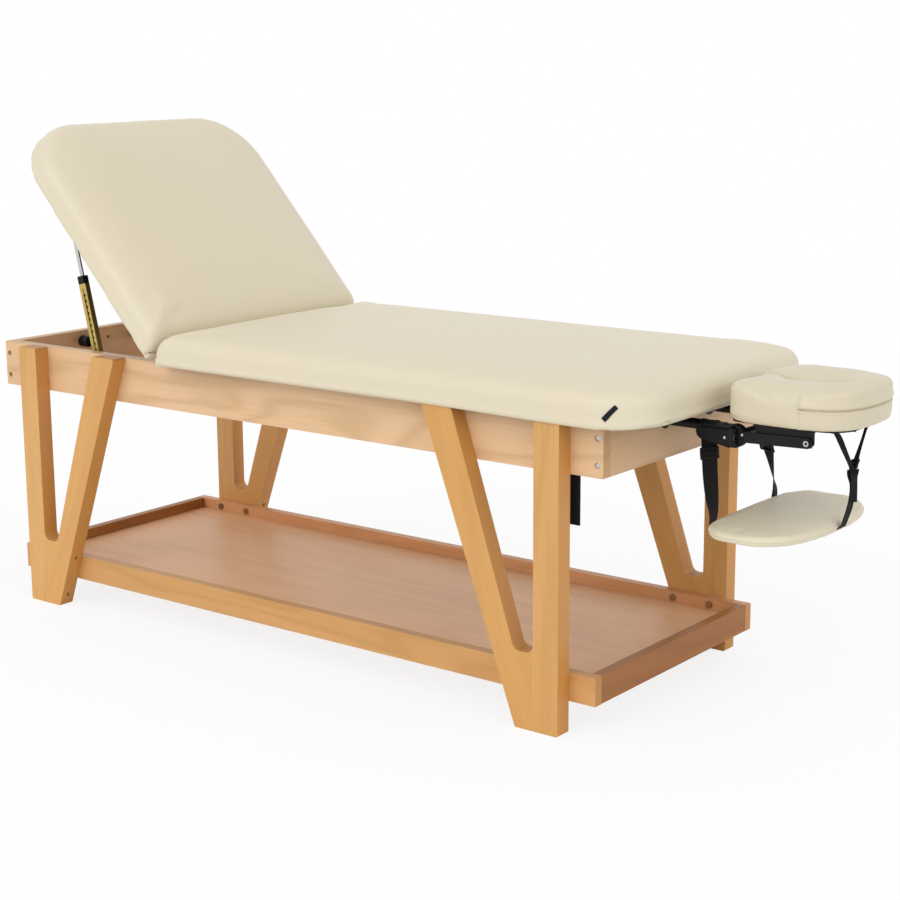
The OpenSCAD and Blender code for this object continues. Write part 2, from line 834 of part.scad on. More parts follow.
// The lever lies along the near post and swings outwards about the cam pin
lever_len = 58;
lever_tip_r = 15;
lever_rise = 5;
lever_t = 12;
rib_share = 0.6;
module cam_lever() {
    color("#19191b") difference() {
        union() {
            translate([disc_x, -cam_y, disc_z - cam_h / 2]) cylinder(r = cam_r, h = cam_h);
            translate([disc_x, -cam_y + cam_r - lever_t, disc_z]) side_plate(lever_t)
                intersection() {
                    hull() {
                        circle(d = disc_d - 2 * barrel_step);
                        translate([-lever_len, lever_rise]) circle(r = lever_tip_r);
                    }
                    translate([-2 * lever_len, -disc_d]) square([2 * lever_len, 2 * disc_d]);
                }
            translate([disc_x, -cam_y - cam_r, disc_z]) side_plate(cam_r)
                intersection() {
                    hull() {
                        circle(r = rib_share * disc_r);
                        translate([-lever_len, lever_rise]) circle(r = rib_share * lever_tip_r);
                    }
                    translate([-2 * lever_len, -disc_d]) square([2 * lever_len, 2 * disc_d]);
                }
        }
        translate([disc_x, -cam_y, disc_z - cam_h]) cylinder(r = pin_d / 2 + run, h = 2 * cam_h);
        translate([disc_x, -cam_y, disc_z - barrel_h / 2 - seat])
            cylinder(r = cam_r - barrel_step + seat, h = barrel_h + 2 * seat);
        translate([disc_x - tie_d / 2 - seat, -cam_y, disc_z - barrel_h / 2 - seat])
            cube([disc_r, 2 * cam_r, barrel_h + 2 * seat]);
        translate([disc_x, -cam_y - tie_d / 2 - seat, disc_z - barrel_h / 2 - seat])
            cube([disc_r, 2 * cam_r, barrel_h + 2 * seat]);
    }
}

arm_bite = 3;
arm_slope = atan2(arm_rise, arm_len);
head_bolt_d = 8;
head_bolt_head = 12;
module arms() {
    from = disc_r - arm_bite;
    color("#2a2b2d") both_sides()
        translate([disc_x, arm_y0 + disc_t - arm_t, disc_z]) rotate([0, -arm_slope, 0])
            side_plate(arm_t) difference() {
                union() {
                    translate([from, -arm_h / 2]) square([norm([arm_len, arm_rise]) - from, arm_h]);
                    translate([norm([arm_len, arm_rise]), 0]) circle(d = arm_h);
                }
                circle(r = disc_r);
                translate([norm([arm_len, arm_rise]), 0]) circle(r = head_bolt_d / 2 + run);
            }
}

module arm_discs() {
    color("#19191b") both_sides()
        translate([disc_x, arm_y0 + disc_t, disc_z]) rotate([90, 0, 0]) difference() {
            cylinder(r = disc_r, h = disc_t);
            translate([0, 0, -over]) cylinder(r = tie_d / 2 + run, h = disc_t + 2 * over);
        }
}

// ---- platform, its brackets and the face cushion ----

front_r = 56;
platform_in = 2;
rear_r = 18;
hole_shrink = 8;
face_x = cushion_mid_x - cushion_x0;

module platform() {
    x0 = cushion_x0 + platform_in;
    color("#1d1d1f") translate([0, 0, platform_z]) linear_extrude(platform_t) difference() {
        polygon(slab_outline(x0, x0 + platform_len, platform_w / 2, rear_r, front_r));
        translate([cushion_mid_x, 0]) scale([face_len - hole_shrink, face_w - hole_shrink] / 2)
            circle(r = 1);
        translate([cushion_x0 - over, -lobe_gap]) square([face_x, 2 * lobe_gap]);
    }
}

bracket_t = 3;
bracket_len = 117;
bracket_tail = 10;
bracket_w = 22;
chamfer = 8;
bracket_y = arm_y0 + disc_t - arm_t - seat;
module platform_brackets() {
    top = platform_rise - arm_rise;
    low = arm_h / 2;
    color("#161618") both_sides() difference() {
        translate([pivot_x, bracket_y, pivot_z]) {
            translate([0, -bracket_t, 0]) side_plate(bracket_t)
                polygon([[bracket_tail - bracket_len, top], [bracket_tail - bracket_len, 0],
                    [-low, -low + seat], [bracket_tail - chamfer / 2, -low + seat],
                    [bracket_tail + chamfer / 4, chamfer - low], [bracket_tail + chamfer / 4, top]]);
            translate([bracket_tail - bracket_len, -bracket_w, top - bracket_t])
                cube([bracket_len, bracket_w, bracket_t]);
        }
        translate([pivot_x, bracket_y + over, pivot_z]) rotate([90, 0, 0])
            cylinder(d = head_bolt_d + fit, h = bracket_t + 2 * over);
    }
}

module head_bolts() {
    shank = arm_t + seat + bracket_t + seat;
    color("#c9c9c6") both_sides()
        translate([pivot_x, arm_y0 + disc_t + seat, pivot_z]) rotate([90, 0, 0]) {
            translate([0, 0, 0]) cylinder(d = head_bolt_d, h = shank + seat + nut_t / 2);
            translate([0, 0, -3 * arm_t / 5]) cylinder(d = head_bolt_head, h = 3 * arm_t / 5);
            translate([0, 0, shank + seat]) cylinder(d = head_bolt_head, h = nut_t / 2);
        }
}

// The cushion is a ring, open at the table side, swept between an inner oval
// and an outer rounded square; both lobes end in a rounded cap.
rear_power = 5;
front_power = 3;
section_count = 20;
station_count = 36;
cap_r = 16;
cap_turns = [78, 55, 28];
groove_deep = 4;
groove_share = 0.42;
seam_share = 0.56;
outer_share = 0.3;
inner_share = 0.85;
wall_bulge = 0.015;

function spow(v, p) = sign(v) * pow(abs(v), p);
function squircle(a, b, t, n) = [a * spow(cos(t), 2 / n), b * spow(sin(t), 2 / n)];
// Point of a rounded square in the direction t
function squircle_at(a, b, t, n) =
    [cos(t), sin(t)] / pow(pow(abs(cos(t)) / a, n) + pow(abs(sin(t)) / b, n), 1 / n);

// Cross-section at share s of the way round each lobe (-1 to 1), shrunk at a cap
lobe_y = lobe_gap / 2 + cap_r;
inner_turn = 180 - atan2(lobe_y, face_len / 2);
outer_turn = 180 - atan2(lobe_y, cushion_len / 2);
function cushion_section(s, size, ahead) =
    let(p = squircle_at(face_len / 2, face_w / 2, s * inner_turn, 2),
        q = squircle_at(cushion_len / 2, cushion_w / 2, s * outer_turn,
            cos(s * outer_turn) > 0 ? front_power : rear_power),
        mid = (p + q) / 2 - [0, sign(s) * ahead],
        half = (q - p) / 2)
    [for (i = [0:section_count - 1])
        let(a = 360 * i / section_count,
            dent = i == 0 && abs(s) < seam_share ? groove_deep / norm(half) : 0,
            drop = i == 0 ? 1 - 2 * groove_share : 0,
            fullness = cos(a) > 0 || sin(a) < 0 ? outer_share : inner_share,
            full = pow(cos(360 / section_count), fullness),
            u = max(-1, min(i == 0 ? 1 : 1 - wall_bulge, spow(cos(a), fullness) / full)) * size - dent,
            w = (spow(sin(a), fullness) - drop) * size)
        [mid.x + half.x * u, mid.y + half.y * u, cushion_h / 2 * (1 + w)]];

module face_cushion() {
    caps = [for (t = cap_turns) [cos(t), cap_r * sin(t)]];
    ends = len(caps);
    rings = concat(
        [for (c = caps) cushion_section(-1, c.x, c.y)],
        [for (i = [0:station_count]) cushion_section(2 * i / station_count - 1, 1, 0)],
        [for (i = [ends - 1:-1:0]) cushion_section(1, caps[i].x, caps[i].y)]);
    color("#e3dac2") translate([cushion_mid_x, 0, cushion_z]) ring_solid(rings);
}

// ---- arm shelf ----

shelf_x = x_head + shelf_out + shelf_w / 2;
shelf_front_power = 2.5;
shelf_back_power = 4.2;
outline_count = 44;

// Outline, straighter on the table side, fuller on the outer side
function shelf_outline(inset) =
    [for (i = [0:outline_count - 1]) let(t = 360 * i / outline_count)
        squircle(shelf_w / 2 - inset, shelf_len / 2 - inset, t,
            cos(t) > 0 ? shelf_front_power : shelf_back_power)];

module shelf_board() {
    color("#cdb48c") translate([shelf_x, 0, shelf_z]) linear_extrude(shelf_board_t)
        polygon(shelf_outline(shelf_board_t / 2));
}

shelf_inset_shares = [0.02, 0, 0.06, 0.2, 0.45, 1, 2.4, 4.5];
shelf_height_shares = [0, 0.3, 0.55, 0.72, 0.84, 0.9, 0.96, 1];
module shelf_pad() {
    rings = [for (k = [0:len(shelf_inset_shares) - 1])
        [for (p = shelf_outline(shelf_pad_t * shelf_inset_shares[k]))
            [p.x, p.y, shelf_pad_t * shelf_height_shares[k]]]];
    color("#e3dac2") translate([shelf_x, 0, shelf_z + shelf_board_t]) ring_solid(rings);
}

// ---- straps ----

near_strap_back = 57;
far_strap_back = 52;
near_strap_x = disc_x - near_strap_back;
far_strap_x = disc_x - far_strap_back;
strap_foot_y = 0.3 * shelf_len;
strap_hook = 40;
strap_rings = 12;
loop_r = post_r + seat + web_t;
shelf_top = shelf_z + shelf_board_t + shelf_pad_t;

// Place on the shelf's edge where a post strap folds round it, and its direction
edge_t = 180 - asin(pow(strap_foot_y / (shelf_len / 2), shelf_back_power / 2));
edge_at = squircle(shelf_w / 2, shelf_len / 2, edge_t, shelf_back_power);
edge_turn = atan2(spow(edge_at.y / shelf_len, shelf_back_power - 1) / shelf_len,
    spow(edge_at.x / shelf_w, shelf_back_power - 1) / shelf_w);
strap_foot = [shelf_x, 0] + edge_at + (seat + web_t / 2) * [cos(edge_turn), sin(edge_turn)];

// Four corners of a flat strip w wide and t thick, lying at angle a at height z
function strip(at, z, a, w, t) = [for (k = [[-1, -1], [1, -1], [1, 1], [-1, 1]])
    [at.x + (k.x * w * cos(a) - k.y * t * sin(a)) / 2,
        at.y + (k.x * w * sin(a) + k.y * t * cos(a)) / 2, z]];

// A strap that turns as it runs from one post down to the shelf's edge, where it
// folds round the edge and under the board
module post_strap(x) {
    fold_z = post_z - loop_r + web_t;
    turn = edge_turn - 90;
    translate([x - web_w / 2, post_y, post_z]) rotate([0, 90, 0]) difference() {
        cylinder(r = loop_r, h = web_w);
        translate([0, 0, -over]) cylinder(r = loop_r - web_t, h = web_w + 2 * over);
    }
    ring_solid([for (i = [0:strap_rings]) let(k = i / strap_rings)
        strip(strap_foot + ([x, post_y] - strap_foot) * k, shelf_top + (fold_z - shelf_top) * k,
            turn * (1 - k), web_w, web_t)]);
    translate([strap_foot.x, strap_foot.y, shelf_z - web_t - seat]) rotate([0, 0, turn]) {
        translate([-web_w / 2, -web_t / 2, 0]) cube([web_w, web_t, shelf_top - shelf_z + web_t + seat]);
        translate([-web_w / 2, -web_t / 2, 0]) mirror([0, 1, 0]) translate([0, -web_t, 0])
            cube([web_w, strap_hook, web_t]);
    }
}

module strap_near() {
    color("#151517") mirror([0, 1, 0]) post_strap(near_strap_x);
}

module strap_far() {
    color("#151517") post_strap(far_strap_x);
}

// A plastic buckle round a strap, a little below its post
buckle_wall = 4;
buckle_w = web_w + 2 * buckle_wall;
buckle_h = 18;
buckle_t = 10;
buckle_share = 0.27;
module buckle(x) {
    low = [strap_foot.x, strap_foot.y, shelf_top];
    top = [x, post_y, post_z - loop_r + web_t];
    at = top + (low - top) * buckle_share;
    slant = atan2(low.y - top.y, top.z - low.z);
    lean = asin((top.x - low.x) / norm(top - low));
    turn = (edge_turn - 90) * buckle_share;
    translate(at) rotate([slant, 0, 0]) rotate([0, lean, turn]) difference() {
        cube([buckle_w, buckle_t, buckle_h], center = true);
        cube([web_w + buckle_t / 2, 4 * buckle_t / 5, buckle_h + over], center = true);
    }
}

module buckle_near() {
    color("#131315") mirror([0, 1, 0]) buckle(near_strap_x);
}

module buckle_far() {
    color("#131315") buckle(far_strap_x);
}

// The front strap: two branches under the platform, one tape to the shelf, a free tail
branch_y = 66;
branch_w = 14;
tape_w = 20;
branch_x = cushion_x0 + platform_in + platform_len - front_r / 3 - branch_w;
slider_out = 19;
slider_w = tape_w + 2 * buckle_wall;
slider_h = 20;
slider_t = 7;
slider_up = 96;
slider_z = shelf_top + slider_up;
tail_len = 62;
front_edge = shelf_x + shelf_w / 2 + seat;
front_rise = slider_z - shelf_z;
lean = atan2(slider_out, front_rise);
tape_run = norm([slider_out, front_rise]);
slider_top = tape_run - slider_t / 2;
tail_bend = slider_top - slider_h - slider_t / 2;

// Moves a piece, drawn upright, to the tape that leans out from the shelf's front edge
module leaning() {
    translate([front_edge, 0, shelf_z]) rotate([0, lean, 0]) children();
}

module strap_front() {
    lap = 2 * tape_w / 3;
    under = web_t + seat;
    color("#151517") {
        for (s = [-1, 1]) {
            translate([branch_x, s * branch_y - lap / 2, platform_z - under])
                cube([branch_w, lap, web_t]);
            hull() {
                translate([branch_x, s * branch_y - web_t / 2, platform_z - web_t - under])
                    cube([branch_w, web_t, web_t]);
                translate([front_edge + slider_out - branch_w / 2, s * web_t - web_t / 2, slider_z])
                    cube([branch_w, web_t, web_t]);
            }
        }
        leaning() {
            translate([0, -tape_w / 2, -under]) cube([web_t, tape_w, tape_run + 2 * web_t + under]);
            translate([web_t / 2, -tape_w / 2, tail_bend])
                cube([3 * web_t / 2, tape_w, tape_run - tail_bend]);
            translate([2 * web_t / 3, seat - tape_w / 2, tail_bend + web_t]) rotate([0, -lean, 0])
                translate([0, 0, slider_h - tail_len])
                    cube([web_t, tape_w - 2 * seat, tail_len - slider_h + web_t]);
        }
        translate([front_edge - strap_hook + web_t, -tape_w / 2, shelf_z - under])
            cube([strap_hook, tape_w, web_t]);
    }
}

module front_slider() {
    color("#131315") leaning() translate([web_t, 0, slider_top - slider_h]) difference() {
        translate([-slider_t, -slider_w / 2, 0]) cube([2 * slider_t, slider_w, slider_h]);
        translate([-web_t - seat, -tape_w / 2 - seat, -over])
            cube([2 * (web_t + seat), tape_w + 2 * seat, slider_h + 2 * over]);
    }
}

near_rail();
far_rail();
foot_rail();
head_rail();
cross_rails();
leg_near_foot();
leg_far_foot();
leg_near_head();
leg_far_head();
rail_screws();
leg_bolts();
rim_near();
rim_far();
rim_foot();
rim_head();
tray_panel();
bushes_foot();
bushes_head();
hang_loop();
main_board();
main_pad();
hinge_main();
hinge_back();
hinge_pins();
back_board();
back_pad();
stay_mounts();
stay_clevises();
stay_rod_near();
stay_rod_far();
stay_channel_near();
stay_channel_far();
stay_collar_near();
stay_collar_far();
posts();
cross_tube();
tie_rod();
cam_lever();
cam_pin();
arms();
arm_discs();
head_bolts();
platform();
platform_brackets();
face_cushion();
shelf_board();
shelf_pad();
strap_near();
strap_far();
strap_front();
buckle_near();
buckle_far();
front_slider();
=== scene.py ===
"""Looks of a wooden massage table: lacquered beech, padded covers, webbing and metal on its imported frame."""

import math

import bmesh
import bpy
import numpy as np
from mathutils import Matrix, Vector, bvhtree, kdtree, noise


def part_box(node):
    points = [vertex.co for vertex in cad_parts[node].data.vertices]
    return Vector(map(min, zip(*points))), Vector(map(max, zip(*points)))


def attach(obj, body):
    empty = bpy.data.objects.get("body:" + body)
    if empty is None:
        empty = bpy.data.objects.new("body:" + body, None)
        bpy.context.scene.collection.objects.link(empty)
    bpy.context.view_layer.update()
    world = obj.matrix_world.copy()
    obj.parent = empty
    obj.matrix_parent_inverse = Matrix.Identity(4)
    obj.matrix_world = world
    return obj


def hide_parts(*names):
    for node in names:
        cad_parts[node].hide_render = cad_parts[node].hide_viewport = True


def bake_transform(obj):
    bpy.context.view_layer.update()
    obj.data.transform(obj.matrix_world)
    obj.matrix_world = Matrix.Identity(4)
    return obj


bl_info = {
    "name": "Massage table looks",
    "version": (1, 0, 0),
    "blender": (4, 5, 0),
    "location": "View3D > Sidebar > Massage table",
    "description": "Lacquered wood, padded covers, webbing and metal for a massage table",
    "category": "Object",
}

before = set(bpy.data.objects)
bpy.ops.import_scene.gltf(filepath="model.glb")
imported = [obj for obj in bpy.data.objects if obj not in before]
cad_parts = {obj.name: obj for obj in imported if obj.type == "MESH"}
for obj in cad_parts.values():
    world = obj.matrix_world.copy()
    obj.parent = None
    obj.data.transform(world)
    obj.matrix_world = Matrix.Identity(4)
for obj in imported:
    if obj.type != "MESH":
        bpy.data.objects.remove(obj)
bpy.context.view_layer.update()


# Distance at which two vertices are one, in metres, and the full turn of a sine
MERGED = 0.00001
TURN = 2 * math.pi

# Corner seam of the main pad, on its far side, in metres
CORNER_SEAM = ((0.7158, 0.2960, 0.6740), (0.7286, 0.2760, 0.6725), (0.7414, 0.2557, 0.6656),
               (0.7489, 0.2331, 0.6519), (0.7500, 0.2204, 0.6427), (0.7502, 0.2120, 0.6250))

# Blank tag: its ends, the way it faces, the share of its half length where its hem begins, its thickness
TAG_ENDS = ((0.6680, -0.3440, 0.6266), (0.6905, -0.3342, 0.6528))
TAG_FACES, TAG_HEM_AT, TAG_THICK = (0.4, -0.9, 0.1), 0.46, 0.0010

# Patterns in the wood, as repeats in a metre along the grain and across it
BROAD, RINGS, BLUSH = (0.55, 5.0, 5.0), (0.85, 6.5, 6.5), (2.2, 3.0, 3.0)
STREAKS, PORES, FLECKS = (5.0, 210.0, 210.0), (60.0, 900.0, 900.0), (120.0, 950.0, 950.0)

# Tints of a wood's own colour
DEEP, PALE, BLUSHED = (0.714, 0.651, 0.560), (1.10, 1.13, 1.22), (1.0, 0.84, 0.72)
END_GRAIN, SIDE_FACE, BRACE_FACE = (1.12, 1.05, 0.95), (0.96, 0.80, 0.58), (1.02, 0.94, 0.72)

# Each mark in the wood: where it comes in on its pattern, where it is full, and how strong it gets
MARKS = {"broad": (0.30, 0.72, 1.0), "streak": (0.42, 0.75, 0.26), "blush": (0.50, 0.75, 0.22),
         "fleck": (0.64, 0.72, 0.34), "end": (0.80, 0.97, 0.60), "pore": (0.45, 0.70, 0.50),
         "side": (0.70, 0.92, 0.80)}
BAND_STRENGTH, BAND_SHARPNESS, BRACE_STRENGTH = 0.32, 2.2, 0.35

# Where each wooden piece is cut from the pattern, in metres
CUTS = {"near_rail": (0.0, 0.0, 0.2), "far_rail": (0.7, 0.37, 0.2), "head_rail": (0.0, 0.6, 0.0),
        "foot_rail": (0.3, 0.6, 0.1), "cross_rails": (0.6, 0.6, 0.2), "rim_near": (0.0, 0.0, 0.4),
        "rim_far": (0.2, 0.5, 0.4), "rim_head": (0.0, 0.15, 0.3), "rim_foot": (0.9, 0.15, 0.3),
        "tray_panel": (0.1, 0.2, 0.6), "leg_near_foot": (0.0, 0.0, 0.0), "leg_far_foot": (0.45, 0.31, 0.17),
        "leg_near_head": (0.90, 0.62, 0.34), "leg_far_head": (1.35, 0.93, 0.51)}

# Main pad, each as its start and its length in metres: how far from the hinge line the cover is drawn
# to it, and where the cover hangs low along the table, across it and over the board
DRAWN = (0.0, 0.035)
HANGS_ALONG, HANGS_ACROSS, HANGS_UP = (0.15, 0.45), (0.285, 0.04), (0.0, 0.035)

# Face cushion: roundness of its outline at the head and at the lobes, and the wall that is made even, as
# its depth and the depth it is set back in metres and the shares of the height where it ends
OUTLINE = (3.0, 5.0)
WALL_DEPTH, WALL_BACK, WALL_SHARES = 0.007, 0.0008, (0.15, 0.85)

# Face cushion, each as its start and its length: where the opening narrows across (in metres), outwards
# and up (as shares), and where the top drops outwards
NARROWS_FROM, NARROWS_TO = (0.0, 0.045), (0.048, 0.05)
NARROWS_OUT, NARROWS_UP, DROPS_OUT = (0.60, 0.30), (0.0, 0.3), (0.60, 0.40)

# Face cushion: how much of its drop the head end keeps back and where, and where the near lobe's drop ends
HEAD_KEEPS, HEAD_END, NEAR_LOBE = 0.75, (0.3, 0.5), (0.50, 0.35)

# Lobes of the face cushion, near and far: lengths along the table and across the gap where the end drops
LOBE_ENDS, LOBE_GAPS = (0.065, 0.035), (0.075, 0.030)

# Grooves, as shares of a seam's width and depth: the main pad's corners, and the face cushion's seam, the
# fold over it and the seam's ends
CORNER_GROOVE, SEAM_GROOVE, FOLD_GROOVE, END_GROOVE = (0.7, 1.3), (1.3, 4.0), (3.0, -1.6), (0.8, 1.3)

# Arm shelf: where its tips begin to narrow, as a share of its half length, and the rest of it
TIP = (0.64, 0.36)

# Sling of a post strap: clearance round the post, its loose end and the start of its drop, as offsets
# along, outwards and up, and the fold round the shelf's edge, along and up
SLING, LOOSE_END, DROP_START = 0.0014, (0.001, -0.0045, -0.034), (0.0, 0.0035, -0.026)
FOLD = ((-0.0012, -0.006), (-0.0012, -0.019), (0.003, -0.0243), (0.024, -0.0243))

# Stations round a post where its strap lies on it, in degrees, and down to the shelf, as shares
POST_STATIONS = (-30, 10, 50, 90, 130, 170, 210)
DROP_STATIONS = (0.0, 0.16, 0.34, 0.52, 0.70, 0.85, 0.95)

# Bearing of a post strap's width, in degrees, at shares of its way down
NEAR_TURNS = ((0.0, 0.5, 0.78, 0.94, 1.0), (0, 5, 14, 30, 40))
FAR_TURNS = ((0.0, 0.3, 0.55, 0.72, 0.87, 1.0), (-8, -22, -42, -54, -66, -80))

# Bearings of the front strap's branches on their way down, the first of them at this share of a step, and
# the front tape's way down: share, bow and bearing
NEAR_BRANCH, FAR_BRANCH, FIRST_STEP = (20, 4, -8, -16), (-40, -44, -36, -20), 0.4
FRONT_RUN = ((0.10, 0.0015, 62), (0.22, 0.0040, 92), (0.42, 0.0075, 88), (0.62, 0.0070, 84),
             (0.80, 0.0035, 86), (0.92, 0.0012, 90))

# Where the front tape tucks into the shelf's edge, and its loose tail from the junction
TUCK = ((0.0006, 0.0080), (0.0040, 0.0052), (0.0110, 0.0050))
TAIL = ((0.0030, 0.0, 0.003, 30), (0.0045, -0.002, -0.012, 74), (0.0045, -0.002, -0.032, 72),
        (0.0040, -0.001, -0.060, 66))

# Branches: gap under the platform, laps under it, the way out of the lap and into the junction, in metres
SEAT, LAPS = 0.0012, (0.012, 0.003)
LEAVES, JOINS, CROSSES = (-0.004, -0.004), (0.0035, 0.004), (0.001, -0.010)

# Thinner webbing: the tail's width and the branches' thickness, as shares of the front tape's, and the
# bearing of the front slider, in degrees
TAIL_WIDTH, BRANCH_THICK, FRONT_BEARING = 0.9, 0.8, -22

# Bars of a slider, as shares of its width and height: side bar, end bars and middle bar
POST_BARS, FRONT_BARS = (0.10, 0.17, 0.20), (0.14, 0.17, 0.20)

# Height and thickness of the sliders, and how much wider they are than their webbing, in metres
POST_SLIDER, FRONT_SLIDER, WIDER = (0.023, 0.0045), (0.019, 0.0050), 0.006

# Camera of the photograph: place, turn and shift
CAMERA_AT, CAMERA_SHIFT = (2.4453, -3.0921, 1.2910), (0.0253, -0.0175)
CAMERA_TURN = ((0.78481523, -0.12106225, 0.60779024), (0.61966702, 0.16725719, -0.76683624),
               (-0.00882236, 0.97845233, 0.20628427))

# Lamps: name, where their light comes from, and their width in degrees
LAMPS = (("key", (-0.15, -1.0, 0.60), 40.0), ("fill", (1.0, -0.1, 0.8), 60.0))

# Floor: its radius, and the distances over which it fades, in metres
FLOOR_RADIUS, FLOOR_FADE = 9.0, (2.0, 5.5)


# Settings

def tone(name, text, default):
    return bpy.props.FloatVectorProperty(name=name, description=text, default=default, size=3,
                                         min=0.0, max=1.0, subtype="COLOR")


def length(name, text, default, low=0.0, high=1.0):
    return bpy.props.FloatProperty(name=name, description=text, default=default, min=low, max=high,
                                   precision=5, unit="LENGTH", subtype="DISTANCE")


def number(name, text, default, low=0.0, high=100.0):
    return bpy.props.FloatProperty(name=name, description=text, default=default, min=low, max=high)


class WoodSettings(bpy.types.PropertyGroup):
    """Colours and edges of the wooden pieces."""

    rail: tone("Rails", "Colour of the rails", (0.725, 0.470, 0.258))
    far: tone("Far rail", "Colour of the far rail and the far rim", (0.740, 0.370, 0.165))
    leg: tone("Legs", "Colour of the legs", (0.635, 0.345, 0.112))
    rim: tone("Tray rims", "Colour of the tray's rims", (0.615, 0.325, 0.112))
    rim_end: tone("Head rim", "Colour of the rims at the tray's ends", (0.360, 0.138, 0.030))
    panel: tone("Tray panel", "Colour of the tray's panel", (0.810, 0.475, 0.255))
    upright: length("Upright", "Width of a leg's upright, up to where its brace's grain begins", 0.059)
    brace_slope: number("Brace slope", "How far a leg's brace leans for each metre of height", 0.36, 0.0, 1.0)
    leg_edge: length("Leg edge", "Rounding of the legs' edges", 0.004, 0.0, 0.01)
    rail_edge: length("Rail edge", "Rounding of the rails' edges", 0.0015, 0.0, 0.01)


class CoverSettings(bpy.types.PropertyGroup):
    """The cream covers of the pads."""

    cream: tone("Cover", "Colour of the covers", (0.715, 0.645, 0.485))
    worn: tone("Face cushion", "Colour of the face cushion's cover", (0.670, 0.600, 0.445))
    pebble: length("Grain", "Size of the cover's grain", 0.0012, 0.0002, 0.01)
    swell: length("Swell", "Most that the simulated cover may swell", 0.004, 0.0, 0.03)
    pressure: number("Pressure", "Pressure inside a cover while it is simulated", 4.0)
    voxel: length("Voxel", "Voxel size of the pads' mesh", 0.009, 0.003, 0.02)
    fine_voxel: length("Fine voxel", "Voxel size of the small pads' mesh", 0.004, 0.002, 0.02)
    held: length("Held", "Height of the lip that is stapled to the board", 0.014)
    ripple: length("Ripple", "Length of the cover's slow unevenness", 0.11)
    seam: length("Seam", "Half the width of a seam's groove", 0.0016)
    seam_depth: length("Seam depth", "Depth of a seam's groove", 0.0012)
    close: length("Close", "How far a cover's end is drawn towards the hinge line", 0.003)
    sag: length("Sag", "How far the main cover hangs below its board at the head end", 0.0045)
    joint_in: length("Joint", "Distance of the hinge line from the pad's end", -0.0015, -0.1, 0.1)
    lip: length("Lip", "Height of the pad's lip over the board's underside", 0.002)
    hinge_up: length("Hinge", "Height of the hinge line over the board's underside", 0.022)
    lift: number("Lift", "Angle of the backrest at rest, in degrees", 48.0)
    band: number("Band", "Share of the face cushion's height below its seam", 0.50, 0.0, 1.0)
    fold: length("Fold", "Height of the fold over the face cushion's seam", 0.0085)
    hole_in: length("Hole", "How much the cover narrows the cushion's opening on each side", 0.021)
    crown: length("Crown", "Drop of the cushion's top towards its outer edge", 0.010)
    near_drop: length("Near end", "Drop of the top towards the near lobe's end", 0.008)
    far_drop: length("Far end", "Drop of the top towards the far lobe's end", 0.002)
    gap_drop: length("Gap", "Drop of the lobes' ends towards the gap between them", 0.013)
    seam_share: number("Seam reach", "Share of each lobe that the seam goes round", 0.418, 0.0, 1.0)
    point: number("Shelf tips", "How much the arm shelf narrows at its tips", 0.10, 0.0, 1.0)
    tag_width: length("Tag width", "Width of the blank tag", 0.0095)
    tag_up: length("Tag height", "Height of the blank tag's middle over the cover", 0.0009)
    tag_hem: length("Tag hem", "How much lower the tag's sewn ends lie", 0.0005)
    tag: tone("Tag", "Colour of the blank tag", (0.010, 0.011, 0.018))
    underside: tone("Underside", "Colour of the boards' undersides", (0.012, 0.011, 0.010))


class StrapSettings(bpy.types.PropertyGroup):
    """Places and sizes of the straps."""

    web: length("Strap", "Width of the post straps", 0.034)
    tape: length("Tape", "Width of the front strap", 0.020)
    branch: length("Branch", "Width of the front strap's branches", 0.012)
    thick: length("Thickness", "Thickness of the webbing", 0.0016)
    belly: length("Belly", "How far a post strap bows outwards", 0.003)
    near_x: length("Near strap", "Place of the near strap along the table", 0.740, -2.0, 2.0)
    far_x: length("Far strap", "Place of the far strap along the table", 0.760, -2.0, 2.0)
    post_y: length("Post", "Distance of the posts from the middle", 0.084)
    post_z: length("Post height", "Height of the posts", 0.583)
    post_r: length("Post radius", "Radius of the posts", 0.010)
    foot_x: length("Foot along", "Place of the straps' feet along the table", 0.7722)
    foot_y: length("Foot across", "Distance of the straps' feet from the middle", 0.1213)
    shelf_top: length("Shelf top", "Height of the arm shelf's top", 0.419)
    shelf_z: length("Shelf underside", "Height of the arm shelf's underside", 0.396)
    platform_z: length("Platform", "Height of the platform's underside", 0.598)
    branch_x: length("Branches along", "Place of the branches' tops along the table", 0.989)
    branch_y: length("Branches across", "Distance of the branches' tops from the middle", 0.066)
    knot_x: length("Junction along", "Place of the junction along the table", 0.992)
    knot_z: length("Junction height", "Height of the junction", 0.515)
    edge_x: length("Shelf edge", "Place of the shelf's front edge along the table", 0.9745, 0.0, 2.0)
    near_slider: number("Near slider", "Place of the near slider on its strap's drop", 0.18, 0.0, 1.0)
    far_slider: number("Far slider", "Place of the far slider on its strap's drop", 0.30, 0.0, 1.0)
    slider_up: length("Front slider", "Distance of the front slider from the junction", 0.013)


